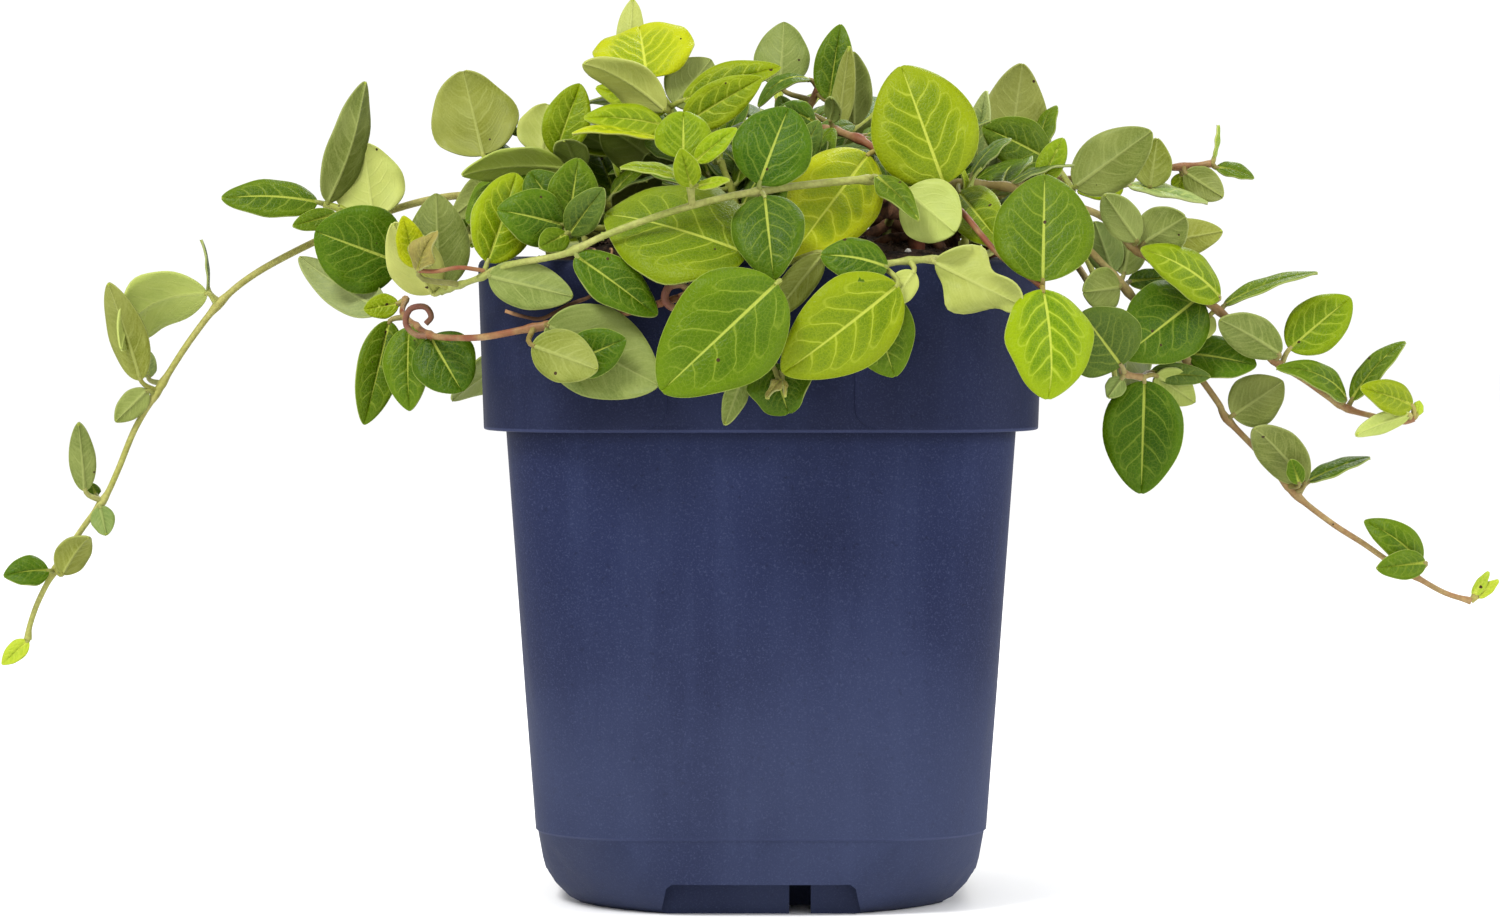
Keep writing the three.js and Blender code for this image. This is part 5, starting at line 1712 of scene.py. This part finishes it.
# How far the bark's knobs stand out, in metres
OLD_STEM_KNOBS = 0.0005
BARE_STEM_KNOBS = 0.0003
ROOT_KNOBS = 0.00015
OLD_STEMS = [
    {"name": "old_stem_left", "root": (18, -34), "points": [(19, -37, 149), (24, -40, 152)]},
    {"name": "old_stem_right", "root": (33, -36), "points": [(31, -38, 148.5), (26.5, -42, 149.5)]},
]


def bark_tree():
    """A knobbly tube along the input's edges."""
    tree, given, keys = geometry_tree("bark", ("Radius", "Knobs"), ("Bark",))
    path = add(tree, "GeometryNodeMeshToCurve", {}, {"Mesh": given})
    ring = add(tree, "GeometryNodeCurvePrimitiveCircle", {}, {"Resolution": 20, "Radius": 1.0})
    tube = add(tree, "GeometryNodeCurveToMesh", {}, {
        "Curve": path, "Profile Curve": ring, "Scale": given.out("Radius"), "Fill Caps": True,
    })
    place = add(tree, "GeometryNodeInputPosition")
    normal = add(tree, "GeometryNodeInputNormal")
    grain = add(tree, "ShaderNodeTexNoise", {}, {
        "Vector": place * (1.0, 1.0, 0.4), "Scale": 700.0, "Detail": 4.0,
    })
    tube = add(tree, "GeometryNodeSetPosition", {}, {
        "Geometry": tube, "Offset": normal * ((grain - 0.5) * given.out("Knobs") * 2),
    })
    tube = add(tree, "GeometryNodeSetShadeSmooth", {}, {"Geometry": tube})
    tube = add(tree, "GeometryNodeRealizeInstances", {}, {"Geometry": tube})
    tube = add(tree, "GeometryNodeSetMaterial", {}, {"Geometry": tube, "Material": given.out("Bark")})
    add(tree, "NodeGroupOutput", {}, {"Geometry": tube})
    return tree, keys


def path_mesh(name, spots):
    """A line of edges through the spots."""
    mesh = bpy.data.meshes.new(name)
    edges = [(i, i + 1) for i in range(len(spots) - 1)]
    mesh.from_pydata([tuple(spot * MM) for spot in spots], edges, [])
    return mesh


def make_old_stems(bark):
    """The two stubs of old stem, each with its foot in the soil."""
    tree, keys = bark_tree()
    for stem in OLD_STEMS:
        ways = with_root(stem["root"], [point(*place) for place in stem["points"]])
        spots = [ways[0][0]] + Path(ways[1]).spaced(BARK_POINT_SPACING)
        piece = placed(stem["name"] + "_fine", path_mesh(stem["name"], spots))
        grown(piece, tree, keys, {"Radius": OLD_STEM_RADIUS * MM, "Knobs": OLD_STEM_KNOBS, "Bark": bark})
        dressed(piece, stem["name"])


# Thin roots that have grown over the rim: width, then x, z and depth of points on each
ROOTS = [
    (0.8, [(-38, 141, -50), (-37, 140.9, -54.5), (-36.2, 140.2, -60.3), (-35, 136.5, -60.9),
           (-34.6, 133.6, -60.8), (-37.4, 130.6, -60.9), (-42, 128.8, -61.4), (-47.8, 125.8, -61.4),
           (-52, 126.2, -61.2), (-56, 127.4, -61)]),
    (0.5, [(-33, 141, -52), (-32.6, 140.4, -60.4), (-33.4, 136, -60.7), (-35.4, 132.4, -60.7),
           (-35, 129.6, -60.6)]),
    (0.5, [(-48, 125.9, -61.3), (-46.2, 124.4, -61.2), (-43.8, 124.2, -61)]),
    (0.45, [(-16, 141.5, -52), (-15.6, 140.4, -60.3), (-15.2, 137, -60.6), (-15.7, 133.2, -60.6)]),
]

# Bare brown stems that arch over the soil behind the front leaves, given in the same way
BARE_STEMS = [
    (2.4, [(14, 141, -24), (19.5, 142.6, -24), (23.4, 143.9, -24), (26.1, 145.4, -24),
           (28.7, 146.8, -23.5), (31.5, 145, -22), (34, 141, -21)]),
    (2.2, [(12, 142, -18), (15, 145, -18), (18.4, 146.4, -18), (23, 147.2, -18), (28.3, 147.9, -18),
           (34, 147.4, -17), (38, 144, -16), (40, 140, -15)]),
    (2.8, [(17, 142, -14), (20.5, 146, -14), (24.3, 148.1, -14), (26.9, 149.5, -13.5),
           (30.5, 148.6, -12), (33, 143, -11)]),
    (2.0, [(12, 142, -9), (15.5, 146.6, -9), (19, 148.6, -9), (23.4, 150.5, -9), (27.5, 151.1, -9),
           (33, 150, -8), (38, 146, -8), (41, 141, -7)]),
    (3.0, [(19, 142, -4), (20.6, 147.5, -4), (22.6, 151.2, -4), (25.6, 153.8, -4), (29.5, 153, -3),
           (32, 147, -2), (33, 142, -2)]),
    (2.4, [(27, 141, -12), (29.6, 145.3, -12), (31.8, 147.2, -12), (34, 149.2, -11), (38, 149, -9),
           (41.5, 145, -8), (43, 141, -7)]),
    (2.4, [(36, 141, -6), (40.3, 143.6, -6), (43.6, 145.2, -6), (46.9, 145.6, -6), (49.6, 142, -5),
           (50.5, 139, -5)]),
    (1.6, [(22, 142, 3), (26, 147, 3), (31, 149, 3), (37, 148, 4), (43, 146.4, 4), (47, 142, 5)]),
    (2.2, [(24, 141, -33), (28, 143.2, -33), (33, 143.4, -32), (37, 142.8, -31), (40, 140, -30)]),
]


def make_runners(name, rows, knobs, material):
    """Roots or bare stems, each a piece of its own along its path."""
    tree, keys = bark_tree()
    for number, (width, places) in enumerate(rows, 1):
        spots = Path([seen(*place) for place in places]).spaced(BARK_POINT_SPACING)
        piece = placed(f"{name}_{number}", path_mesh(name, spots))
        grown(piece, tree, keys, {"Radius": width * MM / 2, "Knobs": knobs, "Bark": material})
        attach(piece, "root")


# Materials

PALE_VEIN = screen(186, 192, 84)
PALE_MARGIN = screen(150, 164, 78)
PALE_UNDERSIDE = screen(190, 196, 120)
SPECK = screen(58, 44, 26)
VEINS_A_SIDE = 5.6


def shaded(name, roughness, specular):
    """A new material's tree with its shader, whose constants are set here."""
    material = bpy.data.materials.new(name)
    material.use_nodes = True
    tree = material.node_tree
    shader = tree.nodes["Principled BSDF"]
    shader.inputs["Roughness"].default_value = roughness
    shader.inputs["Specular IOR Level"].default_value = specular
    return material, tree, shader


def painted(shader, color, roughness=None, height=None, strength=0.5, distance=0.0002):
    """Joins a colour, a roughness and a height to the shader."""
    tree = color.tree
    tree.links.new(color.socket, shader.inputs["Base Color"])
    if roughness is not None:
        tree.links.new(roughness.socket, shader.inputs["Roughness"])
    if height is not None:
        bump = add(tree, "ShaderNodeBump", {}, {
            "Strength": strength, "Distance": distance, "Height": height,
        })
        tree.links.new(bump.socket, shader.inputs["Normal"])


def noise(place, scale, detail=2.0, roughness=0.5):
    """Cloudy noise from 0 to 1, coarser where the scale is small."""
    return add(place.tree, "ShaderNodeTexNoise", {}, {
        "Vector": place, "Scale": scale, "Detail": detail, "Roughness": roughness,
    })


def attribute(tree, name, output):
    """A value that the mesh carries, in a material's tree."""
    return add(tree, "ShaderNodeAttribute", {"attribute_name": name}).out(output)


def object_place(tree):
    return add(tree, "ShaderNodeTexCoord").out("Object")


def leaf_marks(tree):
    """Where a point lies on its leaf, in millimetres, and the marks that the leaf's form gives it."""
    place = attribute(tree, "leaf_mm", "Vector")
    u, v, side = place.parts()
    along = attribute(tree, "along", "Fac")
    own = attribute(tree, "phase", "Fac")
    off = abs(v)
    out = abs(side)
    length = u / along.at_least(0.02)
    half = off / out.at_least(0.04)
    edge = half * (1 - out)
    spot = add(tree, "ShaderNodeCombineXYZ", {}, {"X": u, "Y": v, "Z": own * 90})
    wobble = noise(spot, 0.16, 2.0) - 0.5
    spacing = length / VEINS_A_SIDE
    bend = off * 0.55 + off * out * 0.7
    count = (u - bend + wobble * 3.8) / spacing + side.above(0) * 0.45 + own * 0.5
    within = count.fraction()
    midway = abs(within - 0.5)
    arch = 0.6 + 0.13 * (math.pi * within).sine() + wobble * 0.2
    inside = (out - arch).ramped(-0.02, 0.03, 1, 0)
    inner = (out - arch).ramped(-0.2, 0.12, 1, 0) * along.ramped(0.7, 0.95, 1, 0)
    reach = along.ramped(0.02, 0.1) * along.ramped(0.76, 0.92, 1, 0)
    vein_gap = (0.5 - midway) * spacing
    thin = 0.36 - out * 0.16
    side_vein = (vein_gap - thin * 0.2).ramped(0.0, thin, 1, 0) * inside * reach
    loop_gap = abs(out - arch) * half
    loop = loop_gap.ramped(0.0, 0.34, 1, 0) * reach
    halo = vein_gap.ramped(0.2, spacing * 0.34, 1, 0) * inside * reach
    mid_width = 0.44 - along * 0.32
    midrib = (off - mid_width).ramped(-0.16, 0.14, 1, 0)
    return {
        "spot": spot, "length": length, "out": out, "edge": edge, "own": own, "inner": inner,
        "veins": side_vein.at_least(loop * 0.55), "halo": halo, "midrib": midrib, "count": count,
    }


def specks(spot, scale, share, size):
    """Small spots, sparse and of uneven sizes."""
    cells = add(spot.tree, "ShaderNodeTexVoronoi", {"feature": "F1"}, {"Vector": spot, "Scale": scale})
    chance = add(spot.tree, "ShaderNodeSeparateColor", {}, {"Color": cells.out("Color")})
    near = cells.out("Distance") / scale
    return (near - size * chance.out("Green")).ramped(-0.03, 0.04, 1, 0) * chance.above(1 - share)


def upper_side_material():
    """The upper side: green cells between lighter veins, paler and yellower toward the margin, with
    patches of painted sheen.
    """
    material, tree, shader = shaded("leaf_upper_side", 0.36, 0.1)
    marks = leaf_marks(tree)
    spot = marks["spot"]
    tint = attribute(tree, "tint", "Color")
    sweep = noise(spot, 0.07, 1.0)
    blotch = noise(spot, 0.24, 2.0)
    fine = noise(spot, 3.2, 3.0)
    cells = add(tree, "ShaderNodeTexVoronoi", {"feature": "DISTANCE_TO_EDGE"}, {
        "Vector": spot, "Scale": 1.1,
    })
    level = tint.parts()[1]
    show = level.ramped(0.06, 0.18, 0.38, 0.72) * marks["length"].ramped(9, 22, 0.4, 1)
    light = tint * (1.62, 1.46, 1.1) + (0.01, 0.012, 0.0)
    vein = mixed(0.3, tint * (1.7, 1.55, 1.4) + (0.02, 0.026, 0.002), PALE_VEIN)
    rib = mixed(0.4, vein, PALE_VEIN)
    color = mixed(blotch.ramped(0.3, 0.7, 0.0, 0.5), tint, tint * (0.56, 0.72, 0.4))
    color = mixed(sweep.ramped(0.36, 0.64, 0.0, 0.6), color, light)
    color = mixed(marks["inner"] * show * 0.85, color, tint * (0.5, 0.72, 0.2))
    color = mixed((1 - marks["inner"]) * show * 0.85, color, light)
    # Painted sheen: pale, hazy patches that stand in for soft glossy highlights on the leaf.
    painted_sheen = noise(spot, 0.045, 1.0).ramped(0.5, 0.64, 0.0, 0.45)
    sheen_color = tint * (1.35, 1.3, 1.6) + (0.01, 0.012, 0.008)
    color = mixed(painted_sheen * fine.ramped(0.3, 0.6, 0.6, 1.0), color, sheen_color)
    color = mixed(marks["halo"] * show * 0.5, color, light)
    color = mixed(cells.ramped(0.0, 0.1, 0.2, 0.0), color, vein)
    color = mixed(marks["edge"].ramped(0.0, 3.0, 0.55, 0.0), color, light)
    color = mixed(fine.ramped(0.4, 0.7, 0.0, 0.3), color, light)
    color = mixed(marks["veins"] * show, color, vein)
    color = mixed(marks["midrib"] * 0.9, color, rib)
    color = mixed(marks["edge"].ramped(0.04, 0.2, 0.5, 0.0), color, PALE_MARGIN)
    color = mixed(specks(spot, 0.3, 0.38, 0.42), color, SPECK)
    roughness = fine.ramped(0.3, 0.7, 0.34, 0.48)
    height = fine * 0.3 + cells.ramped(0.0, 0.25) * 0.45 - marks["veins"] * 0.6 - marks["midrib"] * 0.6
    painted(shader, color, roughness, height, 0.4, 0.0003)
    return material


def underside_material():
    """The underside: paler and duller, with faint rays along its veins and a raised midrib."""
    material, tree, shader = shaded("leaf_underside", 0.5, 0.14)
    marks = leaf_marks(tree)
    tint = attribute(tree, "under_tint", "Color")
    light = mixed(0.4, tint, PALE_UNDERSIDE)
    blotch = noise(marks["spot"], 0.2, 2.0)
    fine = noise(marks["spot"], 2.6, 3.0)
    sweep = noise(marks["spot"], 0.07, 1.0)
    color = mixed(blotch.ramped(0.3, 0.72, 0.0, 0.4), tint, tint * (0.7, 0.78, 0.75))
    color = mixed(sweep.ramped(0.36, 0.64, 0.0, 0.35), color, light)
    color = mixed(fine.ramped(0.35, 0.7, 0.0, 0.2), color, light)
    ray = add(tree, "ShaderNodeCombineXYZ", {}, {
        "X": marks["count"] * 3, "Y": marks["out"], "Z": marks["own"],
    })
    color = mixed(noise(ray, 2.0).ramped(0.4, 0.7, 0.0, 0.25), color, light)
    color = mixed(marks["veins"] * 0.22, color, light)
    color = mixed(marks["midrib"] * 0.6, color, light)
    color = mixed(marks["edge"].ramped(0.06, 0.3, 0.5, 0.0), color, light)
    color = mixed(specks(marks["spot"], 0.26, 0.4, 0.4), color, SPECK)
    height = fine * 0.3 + marks["midrib"] * 0.7 + marks["veins"] * 0.25
    painted(shader, color, fine.ramped(0.3, 0.7, 0.42, 0.58), height, 0.5, 0.0003)
    return material


def stalk_material():
    """Stalks and petioles: smooth skin with fine brown grain."""
    material, tree, shader = shaded("stalk", 0.5, 0.2)
    place = object_place(tree)
    tint = attribute(tree, "tint", "Color")
    coarse = noise(place, 180.0, 2.0)
    fine = noise(place, 1400.0, 3.0)
    color = mixed(coarse.ramped(0.35, 0.7, 0.0, 0.3), tint, screen(196, 190, 124))
    color = mixed(fine.ramped(0.35, 0.68, 0.28, 0.0), color, screen(88, 70, 38))
    color = mixed(specks(place * 1000, 0.5, 0.2, 0.3), color, SPECK)
    painted(shader, color, fine.ramped(0.3, 0.7, 0.42, 0.6), fine, 0.3, 0.0002)
    return material


def navy_plastic():
    """Dull moulded plastic with a fine grain. It is paler toward the foot, partly with dust and partly
    with painted light bounced from the floor; the collar is darkened with painted shade, and thin
    painted highlights run along the collar's lip and the parting line.
    """
    material, tree, shader = shaded("navy_plastic", 0.6, 0.12)
    place = object_place(tree)
    x, y, z = place.parts()
    base = add(tree, "ShaderNodeCombineXYZ", {}, {"X": x, "Y": y, "Z": z * 0.06})
    streak = noise(base, 120.0, 4.0, 0.6)
    cloud = noise(place, 22.0, 3.0)
    grain = noise(place, 2600.0, 2.0, 0.7)
    pit = noise(place, 700.0, 4.0, 0.65)
    color = mixed(cloud.ramped(0.3, 0.7), screen(28, 34, 60), screen(33, 40, 68))
    color = mixed(streak.ramped(0.42, 0.72, 0.0, 0.35), color, screen(48, 55, 82))
    color = mixed(grain.ramped(0.5, 0.75, 0.0, 0.5), color, screen(64, 71, 98))
    color = mixed(pit.ramped(0.25, 0.42, 0.45, 0.0), color, screen(17, 21, 40))
    # Paler toward the foot in cloudy patches: partly dust, partly painted light bounced up from the
    # floor.
    dust_and_floor_light = z.ramped(0.02, 0.08, 0.3, 0.0) * cloud.ramped(0.25, 0.6, 0.4, 1.0)
    color = mixed(dust_and_floor_light, color, screen(70, 77, 100))
    # Painted shade: the collar above 100 mm is darkened, as if in the shadow of the leaves over it.
    color = mixed(z.ramped(0.1, 0.1032, 0.0, 0.4), color, screen(20, 22, 36))
    # Painted highlights: thin lighter lines where the collar's lower lip and the parting step would
    # catch the light.
    collar_lip_highlight = z.ramped(0.1028, 0.1031) * z.ramped(0.1035, 0.1038, 1, 0)
    parting_highlight = z.ramped(0.0163, 0.0165) * z.ramped(0.0168, 0.0171, 1, 0)
    color = mixed(collar_lip_highlight.at_least(parting_highlight) * 0.28, color, screen(72, 79, 112))
    rough = streak.ramped(0.3, 0.7, 0.54, 0.68)
    painted(shader, color, rough, grain * 0.5 + pit, 0.28, 0.0002)
    return material


def peat():
    """Dark crumbly soil with paler fibres."""
    material, tree, shader = shaded("peat", 0.95, 0.2)
    place = object_place(tree)
    clod = noise(place, 150.0, 4.0)
    grain = noise(place, 900.0, 4.0, 0.65)
    color = mixed(clod.ramped(0.35, 0.65), screen(26, 20, 16), screen(58, 44, 34))
    color = mixed(grain.ramped(0.5, 0.72, 0.0, 0.7), color, screen(98, 78, 60))
    color = mixed(grain.ramped(0.3, 0.44, 0.6, 0.0), color, screen(14, 11, 9))
    painted(shader, color, None, grain + clod * 0.6, 0.7, 0.0006)
    return material


def old_bark():
    """Ridged brown bark with redder patches."""
    material, tree, shader = shaded("old_bark", 0.85, 0.25)
    place = object_place(tree)
    ridge = noise(place, 420.0, 4.0, 0.65)
    patch = noise(place, 130.0, 2.0)
    color = mixed(ridge.ramped(0.35, 0.65), screen(44, 28, 20), screen(98, 68, 48))
    color = mixed(patch.ramped(0.52, 0.7, 0.0, 0.45), color, screen(112, 54, 38))
    painted(shader, color, None, ridge, 0.8, 0.0005)
    return material


def root_skin():
    """The tan and brown skin of the thin roots."""
    material, tree, shader = shaded("root_skin", 0.7, 0.25)
    place = object_place(tree)
    fine = noise(place, 900.0, 3.0)
    patch = noise(place, 110.0, 2.0)
    color = mixed(patch.ramped(0.4, 0.62), screen(78, 54, 36), screen(168, 128, 88))
    color = mixed(fine.ramped(0.5, 0.7, 0.0, 0.5), color, screen(50, 34, 22))
    painted(shader, color, None, fine, 0.5, 0.0002)
    return material


def perlite():
    """Off-white grains with a rough surface."""
    material, tree, shader = shaded("perlite", 0.8, 0.3)
    fine = noise(object_place(tree), 1200.0, 3.0)
    color = mixed(fine.ramped(0.3, 0.7), screen(176, 172, 162), screen(226, 224, 216))
    painted(shader, color, None, fine, 0.6, 0.0003)
    return material


def pale_floor():
    """A white floor, a little cloudy."""
    material, tree, shader = shaded("pale_floor", 0.8, 0.1)
    place = object_place(tree)
    color = mixed(noise(place, 3.0, 3.0).ramped(0.2, 0.8), (0.95, 0.95, 0.95), (0.96, 0.96, 0.96))
    painted(shader, color)
    return material


# Camera, light and floor

PHOTO_WIDTH = 1500
FOCAL_LENGTH = 5320
# How far the picture's middle lies below the eye's level and to the left of the pot's axis
MIDDLE_DROP = 241.5
MIDDLE_SHIFT = 11
SENSOR_WIDTH = 36
WORLD_STRENGTH = 1.06
FLOOR_CORNERS = [(-3, -2, 0), (3, -2, 0), (3, 4, 0), (-3, 4, 0)]
# Place, aim, size and power
LAMPS = {
    "key": ((-0.5, -0.7, 1.05), (0, 0, 0.1), 0.4, 13),
    "fill": ((0.95, -0.35, 0.5), (0, 0, 0.1), 0.8, 5),
    "back": ((0.3, 0.7, 0.8), (0, 0, 0.12), 0.5, 4),
}


def make_camera():
    """A camera at the eye. The picture's lengths are given in its pixels."""
    data = bpy.data.cameras.new("camera")
    data.sensor_width = SENSOR_WIDTH
    data.lens = SENSOR_WIDTH * FOCAL_LENGTH / PHOTO_WIDTH
    data.clip_start = 0.05
    data.clip_end = 10
    camera = placed("camera", data)
    camera.location = Vector((0, -EYE_DISTANCE, EYE_HEIGHT)) * MM
    pitch = math.atan(MIDDLE_DROP / FOCAL_LENGTH)
    yaw = math.atan(MIDDLE_SHIFT / FOCAL_LENGTH)
    camera.rotation_euler = Euler((math.pi / 2 - pitch, 0, yaw))
    bpy.context.scene.camera = camera


def lamp(name, place, aim, size, power):
    """A round soft light."""
    data = bpy.data.lights.new(name, "AREA")
    data.shape = "DISK"
    data.size = size
    data.energy = power
    light = placed(name, data)
    light.location = place
    light.rotation_euler = (Vector(aim) - Vector(place)).to_track_quat("-Z", "Y").to_euler()


def make_stage():
    """A floor, a white world and the lamps."""
    mesh = bpy.data.meshes.new("floor")
    mesh.from_pydata(FLOOR_CORNERS, [], [(0, 1, 2, 3)])
    floor = placed("floor", mesh)
    mesh.materials.append(pale_floor())
    world = bpy.data.worlds.new("studio")
    world.use_nodes = True
    world.node_tree.nodes["Background"].inputs["Color"].default_value = (1, 1, 1, 1)
    world.node_tree.nodes["Background"].inputs["Strength"].default_value = WORLD_STRENGTH
    bpy.context.scene.world = world
    bpy.context.scene.view_settings.view_transform = "Standard"
    for name, setting in LAMPS.items():
        lamp(name, *setting)


make_camera()
make_stage()
make_pot(navy_plastic())
make_soil({"Soil": peat(), "Perlite": perlite()})
bark = old_bark()
make_old_stems(bark)
make_runners("thin_root", ROOTS, ROOT_KNOBS, root_skin())
make_runners("bare_stem", BARE_STEMS, BARE_STEM_KNOBS, bark)
grow_stems({
    "Stalk": stalk_material(),
    "Upper side": upper_side_material(),
    "Underside": underside_material(),
})
